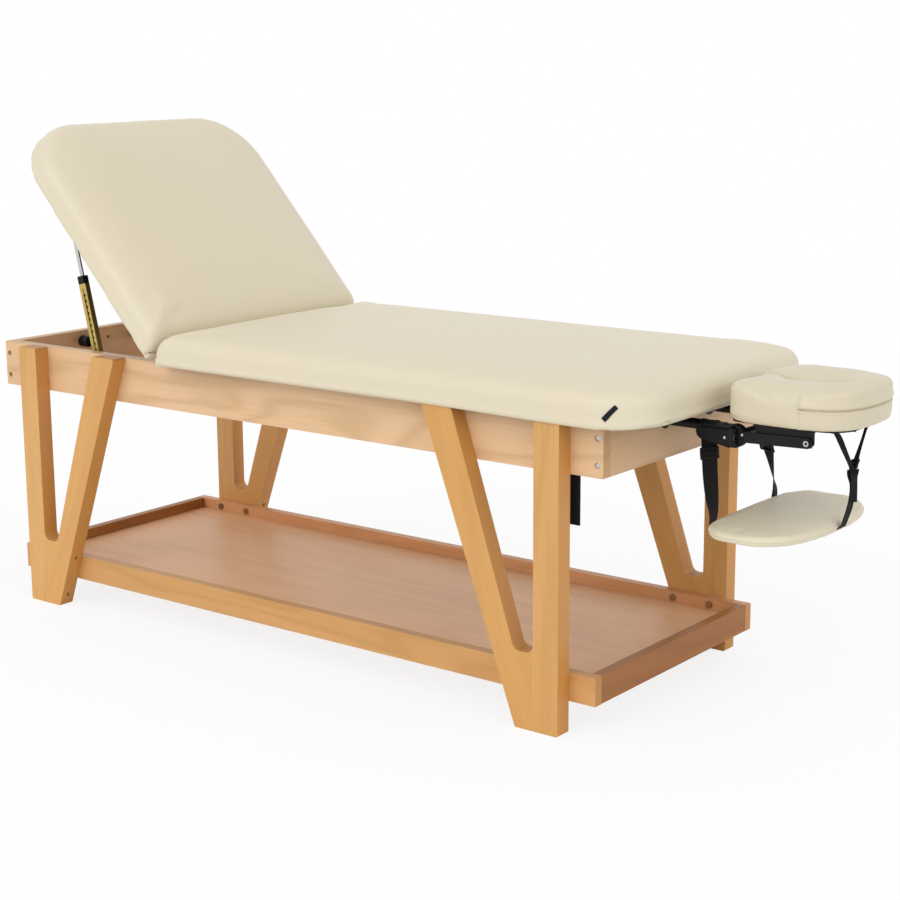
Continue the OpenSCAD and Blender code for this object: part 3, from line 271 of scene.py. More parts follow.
class TrimSettings(bpy.types.PropertyGroup):
    """Webbing, plastic and metal."""

    web: tone("Webbing", "Colour of the webbing", (0.007, 0.007, 0.008))
    plastic: tone("Plastic", "Colour of the plastic parts", (0.006, 0.006, 0.0065))
    zinc: tone("Yellow zinc", "Colour of the stays' channels", (0.560, 0.430, 0.140))
    steel: tone("Steel", "Colour of the plain steel parts", (0.560, 0.570, 0.560))
    leg_bolt: tone("Leg bolts", "Colour of the bolts through the legs", (0.310, 0.190, 0.095))
    foot_screw: tone("Foot screws", "Colour of the rail screws at the foot end", (0.330, 0.190, 0.095))
    platform: tone("Platform", "Colour of the platform under the face cushion", (0.014, 0.014, 0.015))
    moulded_edge: length("Moulded edge", "Rounding of the plastic parts and the platform", 0.0012, 0.0, 0.01)
    painted_edge: length("Painted edge", "Rounding of the powder coated parts", 0.0006, 0.0, 0.01)
    plated_edge: length("Plated edge", "Rounding of the stays' sheet metal", 0.0004, 0.0, 0.01)
    bush_edge: length("Bush edge", "Rounding of the bushes", 0.0008, 0.0, 0.01)
    head_bolt: bpy.props.FloatVectorProperty(name="Head bolts", description="Place of the bolts along and up",
                                             default=(0.946, 0.576), size=2, subtype="XYZ")
    head_radius: length("Bolt head", "Radius of the arms' bolt heads", 0.0073)
    rivet: length("Rivet", "Radius of the rivets", 0.0030)
    lever_rivet: bpy.props.FloatVectorProperty(name="Lever rivet", description="Place of the lever's rivet",
                                               default=(0.7878, -0.1156, 0.5706), size=3, subtype="XYZ")
    disc_rivet: bpy.props.FloatVectorProperty(name="Disc rivet", description="Place of the near disc's rivet",
                                              default=(0.8143, -0.0973, 0.5755), size=3, subtype="XYZ")


class StageSettings(bpy.types.PropertyGroup):
    """Floor, lamps and camera."""

    key: number("Key light", "Strength of the main lamp", 0.92, 0.0, 20.0)
    fill: number("Fill light", "Strength of the lamp at the head end", 0.5, 0.0, 20.0)
    sky: number("Sky light", "Strength of the light from all round", 0.74, 0.0, 5.0)
    white: number("White floor", "Share of the floor that is seen white whatever falls on it", 0.84, 0.0, 1.0)
    lens: number("Lens", "Focal length on a 36 mm sensor, in millimetres", 74.27, 10.0, 300.0)


# Shader maths

class Sock:
    """One socket of a material; sums and products of sockets add Math nodes."""

    def __init__(self, finish, out):
        self.finish, self.out = finish, out

    def __add__(self, o):
        return self.finish.math("ADD", self, o)

    def __sub__(self, o):
        return self.finish.math("SUBTRACT", self, o)

    def __rsub__(self, o):
        return self.finish.math("SUBTRACT", o, self)

    def __mul__(self, o):
        return self.finish.math("MULTIPLY", self, o)

    def __truediv__(self, o):
        return self.finish.math("DIVIDE", self, o)

    def __pow__(self, o):
        return self.finish.math("POWER", self, o)

    def __neg__(self):
        return self.finish.math("MULTIPLY", self, -1.0)

    __radd__ = __add__
    __rmul__ = __mul__

    def sin(self):
        return self.finish.math("SINE", self)

    def absolute(self):
        return self.finish.math("ABSOLUTE", self)

    def ramp(self, low, high):
        """0 below low, 1 above high, smooth between."""
        return self.finish.add("ShaderNodeMapRange", {"interpolation_type": "SMOOTHSTEP"},
                               {"Value": self, "From Min": low, "From Max": high})


class Finish:
    """A node material that is built up by expressions."""

    def __init__(self, name, rough=0.5, metal=0.0, coat=0.0, coat_rough=0.2, sheen=0.0, spec=0.5):
        self.material = bpy.data.materials.new(name)
        self.material.use_nodes = True
        self.tree = self.material.node_tree
        self.shader = self.tree.nodes["Principled BSDF"]
        for key, value in (("Roughness", rough), ("Metallic", metal), ("Coat Weight", coat),
                           ("Coat Roughness", coat_rough), ("Sheen Weight", sheen),
                           ("Specular IOR Level", spec)):
            self.shader.inputs[key].default_value = value
        self.place = self.add("ShaderNodeTexCoord", {}, {}, "Object")

    def add(self, kind, settings, sockets, out=0):
        """A node of that kind, with its settings made first and its sockets given values or links."""
        node = self.tree.nodes.new(kind)
        for key, value in settings.items():
            if key == "stops":
                ramp = node.color_ramp
                while len(ramp.elements) < len(value):
                    ramp.elements.new(0.5)
                for e, (at, colour) in zip(ramp.elements, value):
                    e.position, e.color = at, colour
            else:
                setattr(node, key, value)
        for key, value in sockets.items():
            socket = node.inputs[key]
            if isinstance(value, Sock):
                self.tree.links.new(value.out, socket)
            else:
                socket.default_value = value
        return Sock(self, node.outputs[out])

    def math(self, operation, *values):
        return self.add("ShaderNodeMath", {"operation": operation}, dict(enumerate(values)))

    def mix(self, share, a, b):
        """Colour a where share is 0 and b where it is 1."""
        a, b = (c if isinstance(c, Sock) else (*c, 1.0) for c in (a, b))
        return self.add("ShaderNodeMix", {"data_type": "RGBA"}, {0: share, 6: a, 7: b}, 2)

    def part(self, vector, axis):
        return self.add("ShaderNodeSeparateXYZ", {}, {0: vector}, axis)

    def mapped(self, vector, scale=(1, 1, 1), turn=(0, 0, 0), move=(0, 0, 0)):
        return self.add("ShaderNodeMapping", {}, {"Vector": vector, "Scale": scale, "Rotation": turn,
                                                  "Location": move})

    def noise(self, vector, scale, detail=3.0, rough=0.5, distortion=0.0):
        return self.add("ShaderNodeTexNoise", {}, {"Vector": vector, "Scale": scale, "Detail": detail,
                                                   "Roughness": rough, "Distortion": distortion}, "Fac")

    def cells(self, vector, scale, feature="F1", out="Distance"):
        return self.add("ShaderNodeTexVoronoi", {"feature": feature}, {"Vector": vector, "Scale": scale}, out)

    def wire(self, colour=None, rough=None, height=None, depth=0.001, strength=1.0, metal=None):
        """Links what varies over the surface to the shader."""
        for key, value in (("Base Color", colour), ("Roughness", rough), ("Metallic", metal)):
            if isinstance(value, Sock):
                self.tree.links.new(value.out, self.shader.inputs[key])
            elif value is not None:
                self.shader.inputs[key].default_value = (*value, 1.0) if key == "Base Color" else value
        if height is not None:
            bump = self.add("ShaderNodeBump", {}, {"Strength": strength, "Distance": depth, "Height": height})
            self.tree.links.new(bump.out, self.shader.inputs["Normal"])
        return self.material


def shade(colour, k):
    return tinted(colour, (k, k, k))


def tinted(colour, tint):
    return tuple(min(1.0, c * k) for c, k in zip(colour, tint))


def lacquered_wood(name, colour, grain=(0, 0, 0), move=(0, 0, 0), brace=None, figure=1.0, rings=9.0):
    """Beech under satin lacquer. The grain runs along X after a turn. A leg's brace is given as the place and
    the direction of its edge and its slope; the grain leans with it, and side faces are deeper in colour."""
    f = Finish(name, rough=0.42, coat=0.06, coat_rough=0.28, spec=0.35)

    def mark(kind, value):
        start, full, strength = MARKS[kind]
        return value.ramp(start, full) * strength

    start = f.place
    if brace:
        edge, toward, slope = brace
        x, y, z = (f.part(start, i) for i in range(3))
        leans = ((x - edge) * toward).ramp(-0.001, 0.001)
        start = f.add("ShaderNodeCombineXYZ", {}, {0: x - z * leans * (slope * toward), 1: y, 2: z})
    run = f.mapped(start, turn=grain, move=move)
    deep = tinted(colour, DEEP)
    rings_field = f.noise(f.mapped(run, scale=RINGS), 1.0, detail=2.0, rough=0.45, distortion=0.5)
    bands = ((rings_field * (rings * TURN)).sin() * 0.5 + 0.5) ** BAND_SHARPNESS
    streak = f.noise(f.mapped(run, scale=STREAKS), 1.0, detail=4.0, rough=0.6)
    fleck = f.noise(f.mapped(run, scale=FLECKS), 1.0, detail=1.0)
    facing = f.add("ShaderNodeTexCoord", {}, {}, "Normal")
    across = f.part(f.mapped(facing, turn=grain), 0).absolute()

    broad = f.noise(f.mapped(run, scale=BROAD), 1.0, detail=2.0)
    blush = f.noise(f.mapped(run, scale=BLUSH), 1.0, detail=2.0)
    pores = f.noise(f.mapped(run, scale=PORES), 1.0, detail=2.0)
    base = f.mix(mark("broad", broad), colour, tinted(colour, PALE))
    base = f.mix(bands * (BAND_STRENGTH * figure), base, deep)
    base = f.mix(mark("streak", streak), base, deep)
    base = f.mix(mark("blush", blush), base, tinted(colour, BLUSHED))
    base = f.mix(mark("fleck", fleck), base, shade(deep, 0.72))
    ended = f.mix(mark("pore", pores), tinted(deep, END_GRAIN), shade(deep, 0.62))
    base = f.mix(mark("end", across), base, ended)
    if brace:
        base = f.mix(mark("side", f.part(facing, 0).absolute()), base, tinted(colour, SIDE_FACE))
        base = f.mix(leans * BRACE_STRENGTH, base, tinted(colour, BRACE_FACE))
    flecked, ends = fleck.ramp(*MARKS["fleck"][:2]), across.ramp(*MARKS["end"][:2])
    rough = 0.36 + streak * 0.14 + flecked * 0.1 + ends * 0.1
    height = streak * 0.5 - flecked * 0.6 + bands * 0.15
    return f.wire(base, rough, height, depth=0.00025, strength=0.5)


def cream_cover(name, colour, pebble, warm=(1.02, 0.985, 0.94)):
    """Soft synthetic leather with a fine pebbled grain, warmer in slow clouds, with painted shade in its
    creases.
    """
    f = Finish(name, rough=0.42, coat=0.05, coat_rough=0.35, sheen=0.06, spec=0.42)
    cell = 1.0 / pebble
    grain = f.cells(f.place, cell, "SMOOTH_F1")
    apart = f.mapped(f.place, move=(0.3, 0.1, 0.2))
    creases = f.cells(apart, cell * 0.45, "DISTANCE_TO_EDGE").ramp(0.0, 0.12)
    cloud = f.noise(f.place, scale=3.0, detail=2.0)
    fine = f.noise(f.place, scale=900.0, detail=2.0)
    base = f.mix(cloud.ramp(0.35, 0.70) * 0.4, colour, tinted(colour, warm))
    # Painted shade: the colour is darkened along the grain's creases, which the bump also sinks.
    base = f.mix((1 - creases) * 0.10, base, shade(colour, 0.80))
    rough = 0.37 + grain * 0.10 + fine * 0.06
    return f.wire(base, rough, grain * 0.5 + creases * 0.35 + fine * 0.12, depth=0.00022, strength=0.55)


def lighter(colour, k, more):
    """A dark colour where it is rubbed or dusty."""
    return tuple(c * k + more for c in colour)


def black_plastic(name, colour, rough=0.5):
    """Moulded nylon with a fine spark finish and paler rubbed spots."""
    f = Finish(name, rough=rough, spec=0.22)
    fine = f.noise(f.place, scale=1400.0, detail=2.0)
    rub = f.noise(f.place, scale=24.0, detail=4.0, rough=0.6).ramp(0.55, 0.80)
    base = f.mix(rub * 0.35, colour, lighter(colour, 1.8, 0.003))
    return f.wire(base, rough - 0.06 + fine * 0.14 + rub * 0.06, fine, depth=0.00012, strength=0.4)


def black_paint(name, colour):
    """Powder coat over steel, with its orange peel."""
    f = Finish(name, rough=0.34, spec=0.24)
    peel = f.noise(f.place, scale=620.0, detail=3.0)
    worn = f.noise(f.place, scale=60.0, detail=5.0, rough=0.65).ramp(0.66, 0.80)
    base = f.mix(worn * 0.3, colour, lighter(colour, 2.0, 0.005))
    return f.wire(base, 0.28 + peel * 0.16, peel, depth=0.00018, strength=0.5)


def brushed_metal(name, colour, rough=0.32, scratch=(4.0, 260.0, 260.0), warm=0.0, dull=None,
                  stained=(1.05, 0.80, 0.62)):
    """Plated steel with fine drawing marks and slight staining; a dull colour goes on what is at the foot."""
    f = Finish(name, rough=rough, metal=1.0)
    lines = f.noise(f.mapped(f.place, scale=scratch), scale=4.0, detail=4.0, rough=0.65)
    stain = f.noise(f.place, scale=38.0, detail=4.0, rough=0.6)
    iris = f.noise(f.mapped(f.place, move=(0.4, 0.2, 0.1)), scale=16.0, detail=2.0).ramp(0.35, 0.70)
    base = f.mix(stain.ramp(0.40, 0.75) * 0.35, colour, shade(colour, 0.62))
    base = f.mix(iris * (0.15 + warm), base, tinted(colour, stained))
    if dull:
        base = f.mix(f.part(f.place, 0).ramp(-0.1, 0.1), dull, base)
    return f.wire(base, rough - 0.08 + lines * 0.2 + stain * 0.1, lines, depth=0.00008, strength=0.4)


def socket_head(name, colour, centre, radius, socket=(0.32, 0.40), rim=(0.70, 0.78)):
    """Plated bolt head that faces across the table: bright, with a socket painted near black as painted shade,
    and a blackened rim, whose edges are shares of the radius."""
    f = Finish(name, rough=0.3, metal=1.0)
    x, z = f.part(f.place, 0) - centre[0], f.part(f.place, 2) - centre[1]
    out = ((x * x + z * z) ** 0.5) / radius
    lines = f.noise(f.mapped(f.place, scale=(260.0, 4.0, 260.0)), scale=4.0, detail=4.0, rough=0.65)
    base = f.mix(lines.ramp(0.40, 0.75) * 0.35, colour, shade(colour, 0.6))
    # Painted shade: the socket's recess, which is only a bump, is near black in the colour.
    base = f.mix(1 - out.ramp(*socket), base, shade(colour, 0.06))
    base = f.mix(out.ramp(*rim), base, shade(colour, 0.05))
    return f.wire(base, 0.26 + lines * 0.2, out.ramp(0.30, 0.42), depth=0.001, strength=0.8)


def webbing(name, colour, mapped=True, ribs=2600.0, waves=900.0, threads=5200.0):
    """Woven tape; its ribs follow the piece's own map, in metres across and along, or the room's axes. The
    ribs, their waves and the threads are given in radians for each metre."""
    f = Finish(name, rough=0.78, sheen=0.04, spec=0.12)
    if mapped:
        uv = f.add("ShaderNodeUVMap", {"uv_map": "tape"}, {})
        u, v = f.part(uv, 0), f.part(uv, 1)
    else:
        u, v = f.part(f.place, 1), f.part(f.place, 2)
    chevron = (v * ribs + (u * waves).sin() * 1.6).sin() * 0.5 + 0.5
    warp = (u * threads).sin() * 0.5 + 0.5
    fuzz = f.noise(f.place, scale=1500.0, detail=2.0)
    weave = chevron * 0.6 + warp * 0.4
    base = f.mix(weave * 0.55 + fuzz * 0.2, shade(colour, 0.65), lighter(colour, 2.0, 0.004))
    return f.wire(base, 0.66 + fuzz * 0.2, weave + fuzz * 0.35, depth=0.0004, strength=0.7)


def painted_board(name, colour, cover=None, up=(0.0, 0.0, 1.0), dusty=(0.06, 0.055, 0.05)):
    """Board sealed in dark paint, its grain just telegraphing through. A cover's colour goes on its edges."""
    f = Finish(name, rough=0.62, spec=0.25)
    grain = f.noise(f.mapped(f.place, scale=(3.0, 90.0, 90.0)), scale=2.0, detail=4.0, rough=0.6)
    dust = f.noise(f.place, scale=14.0, detail=4.0, rough=0.6).ramp(0.50, 0.85)
    base = f.mix(grain.ramp(0.40, 0.70) * 0.5, colour, lighter(colour, 1.5, 0.004))
    base = f.mix(dust * 0.18, base, dusty)
    if cover:
        facing = f.add("ShaderNodeTexCoord", {}, {}, "Normal")
        along = f.add("ShaderNodeVectorMath", {"operation": "DOT_PRODUCT"}, {0: facing, 1: up}, "Value")
        base = f.mix((-along).ramp(0.35, 0.75), cover, base)
    return f.wire(base, 0.55 + grain * 0.2, grain, depth=0.0003, strength=0.5)


# Mesh helpers

def piece(name, bm, material, body, *nodes, slot=None):
    """Makes a bmesh an object of the table, riding on a body, if one is given, and standing for CAD nodes."""
    mesh = bpy.data.meshes.new(name)
    bm.to_mesh(mesh)
    bm.free()
    obj = bpy.data.objects.new(name, mesh)
    bpy.context.scene.collection.objects.link(obj)
    mesh.materials.append(material)
    for p in mesh.polygons:
        p.use_smooth = True
    if body:
        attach(obj, body)
    if nodes:
        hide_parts(*nodes)
    return obj


def edge_softened(obj, width, segments=2, angle=35.0):
    """Rounds the sharp edges of a CAD node or a piece."""
    weld = obj.modifiers.new("Weld", "WELD")
    weld.merge_threshold = MERGED
    flat = obj.modifiers.new("Flat faces", "DECIMATE")
    flat.decimate_type, flat.angle_limit = "DISSOLVE", math.radians(1.0)
    bevel = obj.modifiers.new("Bevel", "BEVEL")
    bevel.width, bevel.segments, bevel.limit_method = width, segments, "ANGLE"
    bevel.angle_limit = math.radians(angle)
    bevel.harden_normals = True
    return obj


def dressed(node, material):
    """Gives a CAD node its material."""
    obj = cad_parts[node]
    obj.data.materials.clear()
    obj.data.materials.append(material)
    return obj


# Soft goods

def copied(node):
    """A merged copy of a CAD node's mesh."""
    bm = bmesh.new()
    bm.from_mesh(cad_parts[node].data)
    bmesh.ops.remove_doubles(bm, verts=bm.verts, dist=MERGED)
    return bm


def evaluated(bm, kind, settings, held=None, frames=0):
    """The mesh after one modifier, and after that many frames of its simulation."""
    scene = bpy.context.scene
    mesh = bpy.data.meshes.new("workpiece")
    bm.to_mesh(mesh)
    obj = bpy.data.objects.new("workpiece", mesh)
    scene.collection.objects.link(obj)
    if held is not None:
        group = obj.vertex_groups.new(name="held")
        for v in bm.verts:
            group.add([v.index], held(v.co), "REPLACE")
    bm.free()
    modifier = obj.modifiers.new(kind, kind)
    settings(modifier)
    for at in range(1, frames + 1):
        scene.frame_set(at)
    done = bmesh.new()
    baked = bpy.data.meshes.new_from_object(obj.evaluated_get(bpy.context.evaluated_depsgraph_get()))
    done.from_mesh(baked)
    bpy.data.objects.remove(obj)
    for used in (mesh, baked):
        bpy.data.meshes.remove(used)
    return done


def remeshed(bm, voxel, height, flat, rounds=4):
    """Even faces over a closed shape, its facets smoothed away above the flat part, which keeps its form."""
    def voxels(modifier):
        modifier.mode, modifier.voxel_size = "VOXEL", voxel

    solid = bvhtree.BVHTree.FromBMesh(bm)
    even = evaluated(bm, "REMESH", voxels)
    for _ in range(rounds):
        bmesh.ops.smooth_vert(even, verts=even.verts, factor=0.5,
                              use_axis_x=True, use_axis_y=True, use_axis_z=True)
    for v in even.verts:
        share = min(1.0, max(0.0, 2.0 - height(v.co) / flat))
        if share:
            v.co = v.co.lerp(solid.find_nearest(v.co)[0], share)
    return even


def swollen(bm, pressure, cap, height, flat, frames=20):
    """Cloth under pressure rounds the cover. Points lower than flat stay, and none moves farther than cap."""
    start = [v.co.copy() for v in bm.verts]

    def cloth(modifier):
        c = modifier.settings
        c.quality, c.mass, c.air_damping = 5, 0.3, 2.0
        c.tension_stiffness = c.compression_stiffness = 15.0
        c.shear_stiffness, c.bending_stiffness = 5.0, 0.5
        c.use_pressure, c.uniform_pressure_force = True, pressure
        c.effector_weights.gravity = 0.0
        c.vertex_group_mass, c.pin_stiffness = "held", 1.0
        modifier.collision_settings.use_collision = False
        modifier.collision_settings.use_self_collision = False

    done = evaluated(bm, "CLOTH", cloth, lambda p: 1.0 if height(p) < flat else 0.0, frames)
    bpy.context.scene.frame_set(1)
    for v, was in zip(done.verts, start):
        moved = v.co - was
        if moved.length > cap:
            v.co = was + moved * (cap / moved.length)
    return done


def rise(value, start, span):
    """0 up to start, 1 after the span, smooth between."""
    share = min(1.0, max(0.0, (value - start) / span))
    return share * share * (3 - 2 * share)


def track(points):
    """Looks up how far a place is from a line of points."""
    tree = kdtree.KDTree(len(points))
    for i, at in enumerate(points):
        tree.insert(at, i)
    tree.balance()
    return lambda at: tree.find(at)[2]


def grooved(bm, points, width, depth, lips=0.3, cuts=2, reach=5, lip_at=2.0, lip_width=1.1):
    """Sinks a seam along a line of points; the faces near it are made finer first. The reach and the raised
    lips beside the seam are counted in seam widths."""
    skin = bvhtree.BVHTree.FromBMesh(bm)
    away = track([skin.find_nearest(at)[0] for at in points])
    for _ in range(cuts):
        near = [e for e in bm.edges if away((e.verts[0].co + e.verts[1].co) / 2) < reach * width]
        bmesh.ops.subdivide_edges(bm, edges=near, cuts=1, use_grid_fill=True, smooth=0.0)
    bm.normal_update()
    for v in bm.verts:
        d = away(v.co) / width
        if d < reach:
            sink = math.exp(-d * d) - lips * math.exp(-((d - lip_at) / lip_width) ** 2)
            v.co -= v.normal * depth * sink


def rippled(bm, size, depth, height, flat, seed):
    """Slow unevenness of a stretched cover, above the flat part only; size is its length."""
    bm.normal_update()
    for v in bm.verts:
        if height(v.co) > flat:
            v.co += v.normal * depth * noise.noise(v.co / size + Vector((seed, 0.0, 0.0)))


def cover(name, bm, material, body, *nodes):
    """Makes a pad's finished mesh a piece with one smooth subdivision."""
    obj = piece(name, bm, material, body, *nodes, slot="cover_cream")
    sub = obj.modifiers.new("Subdivision", "SUBSURF")
    sub.levels = sub.render_levels = 1


def smooth_run(points, count):
    """Catmull-Rom curve through rows of numbers, count rows for each stretch."""
    rows = np.array([points[0], *points, points[-1]], float)
    out = []
    for i in range(1, len(rows) - 2):
        a, b, c, d = rows[i - 1:i + 3]
        for k in range(count):
            t = k / count
            out.append(0.5 * (2 * b + (c - a) * t + (2 * a - 5 * b + 4 * c - d) * t * t
                              + (3 * b - a - 3 * c + d) * t ** 3))
    out.append(rows[-2])
    return out


def lies(bearing):
    """Direction of a level width at that bearing, in degrees round Z."""
    return Vector((math.cos(math.radians(bearing)), math.sin(math.radians(bearing)), 0.0))


def thickened(obj, thick, edge=0.0, segments=2, angle=30.0):
    """Gives a sheet its wall, with rounded edges as a share of the thickness."""
    wall = obj.modifiers.new("Thickness", "SOLIDIFY")
    wall.thickness, wall.offset = thick, 0.0
    if edge:
        bevel = obj.modifiers.new("Bevel", "BEVEL")
        bevel.width, bevel.segments, bevel.limit_method = thick * edge, segments, "ANGLE"
        bevel.angle_limit = math.radians(angle)
    return obj


def tape(name, stations, width, thick, material, body, *nodes, cup=0.0, count=6, across=6):
    """Flat webbing through stations of (x, y, z, bearing): its width lies level at the bearing, in degrees
    round Z, and its middle stands out by cup."""
    rows = smooth_run(stations, count)
    bm = bmesh.new()
    bmesh.ops.create_grid(bm, x_segments=across, y_segments=len(rows) - 1, size=0.5)
    uv = bm.loops.layers.uv.new("tape")
    centres = [Vector(r[:3]) for r in rows]
    runs = [0.0]
    for a, b in zip(centres, centres[1:]):
        runs.append(runs[-1] + (b - a).length)
    bm.verts.ensure_lookup_table()
    spots = {}
    for v in bm.verts:
        i = round((v.co.y + 0.5) * (len(rows) - 1))
        spots[v] = (v.co.x, i)
    for v, (share, i) in spots.items():
        side = lies(rows[i][3])
        ahead = (centres[min(i + 1, len(rows) - 1)] - centres[max(i - 1, 0)]).normalized()
        out = side.cross(ahead).normalized()
        v.co = centres[i] + side * share * width + out * cup * (1 - 4 * share * share)
    for f in bm.faces:
        for loop in f.loops:
            share, i = spots[loop.vert]
            loop[uv].uv = (share * width, runs[i])
    bmesh.ops.recalc_face_normals(bm, faces=bm.faces)
    return thickened(piece(name, bm, material, body, *nodes, slot="webbing"), thick, edge=0.3)


def slotted(name, centre, bearing, along, size, bars, material, *nodes, bow=0.25):
    """A moulded slider on the cradle: a bowed plate with two slots and bars of those shares of its size."""
    side = lies(bearing)
    side = (side - along * side.dot(along)).normalized()
    w, h, t = size
    bm = bmesh.new()
    bmesh.ops.create_grid(bm, x_segments=3, y_segments=5, size=0.5)
    columns = (-0.5, -0.5 + bars[0], 0.5 - bars[0], 0.5)
    levels = (-0.5, -0.5 + bars[1], -bars[2] / 2, bars[2] / 2, 0.5 - bars[1], 0.5)
    out = side.cross(along).normalized()
    places = {v: (round((v.co.x + 0.5) * 3), round((v.co.y + 0.5) * 5)) for v in bm.verts}
    gaps = [f for f in bm.faces if {places[v][0] for v in f.verts} == {1, 2}
            and {places[v][1] for v in f.verts} in ({1, 2}, {3, 4})]
    bmesh.ops.delete(bm, geom=gaps, context="FACES")
    for v in bm.verts:
        i, j = places[v]
        stands = bow * t * (1 - (2 * levels[j]) ** 2)
        v.co = centre + side * columns[i] * w + along * levels[j] * h + out * stands
    bmesh.ops.recalc_face_normals(bm, faces=bm.faces)
    plate = piece(name, bm, material, "cradle", *nodes, slot="black_plastic")
    thickened(plate, t, edge=0.22, segments=3, angle=40.0).modifiers["Bevel"].harden_normals = True


# Operators

class MASSAGE_OT_wood(bpy.types.Operator):
    """Finish the rails, legs and tray in lacquered beech"""

    bl_idname = "massage.wood"
    bl_label = "Wood"

    def execute(self, context):
        s = context.scene.massage_wood
        along, up, over = (0.0, 0.0, 0.0), (0.0, math.pi / 2, 0.0), (0.0, 0.0, -math.pi / 2)
        for n, colour, turn, figure in (
                ("near_rail", s.rail, along, 1.3), ("far_rail", s.far, along, 1.3),
                ("head_rail", s.rail, over, 1.0), ("foot_rail", s.rail, over, 1.0),
                ("cross_rails", s.rail, over, 1.0), ("rim_near", s.rim, along, 1.0),
                ("rim_far", shade(s.far, 0.92), along, 1.0), ("rim_head", s.rim_end, over, 1.0),
                ("rim_foot", s.rim_end, over, 1.0)):
            wood = lacquered_wood(f"beech_{n}", colour, turn, CUTS[n], figure=figure)
            edge_softened(dressed(n, wood), s.rail_edge)
        for n in ("leg_near_foot", "leg_far_foot", "leg_near_head", "leg_far_head"):
            low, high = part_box(n)
            toward = 1.0 if "foot" in n else -1.0
            edge = (low[0] if toward > 0 else high[0]) + toward * s.upright
            wood = lacquered_wood(f"beech_{n}", s.leg, up, CUTS[n], (edge, toward, s.brace_slope),
                                  figure=0.7, rings=7.0)
            edge_softened(dressed(n, wood), s.leg_edge, segments=3)
        wood = lacquered_wood("beech_panel", s.panel, move=CUTS["tray_panel"], figure=0.5, rings=5.0)
        dressed("tray_panel", wood)
        return {"FINISHED"}


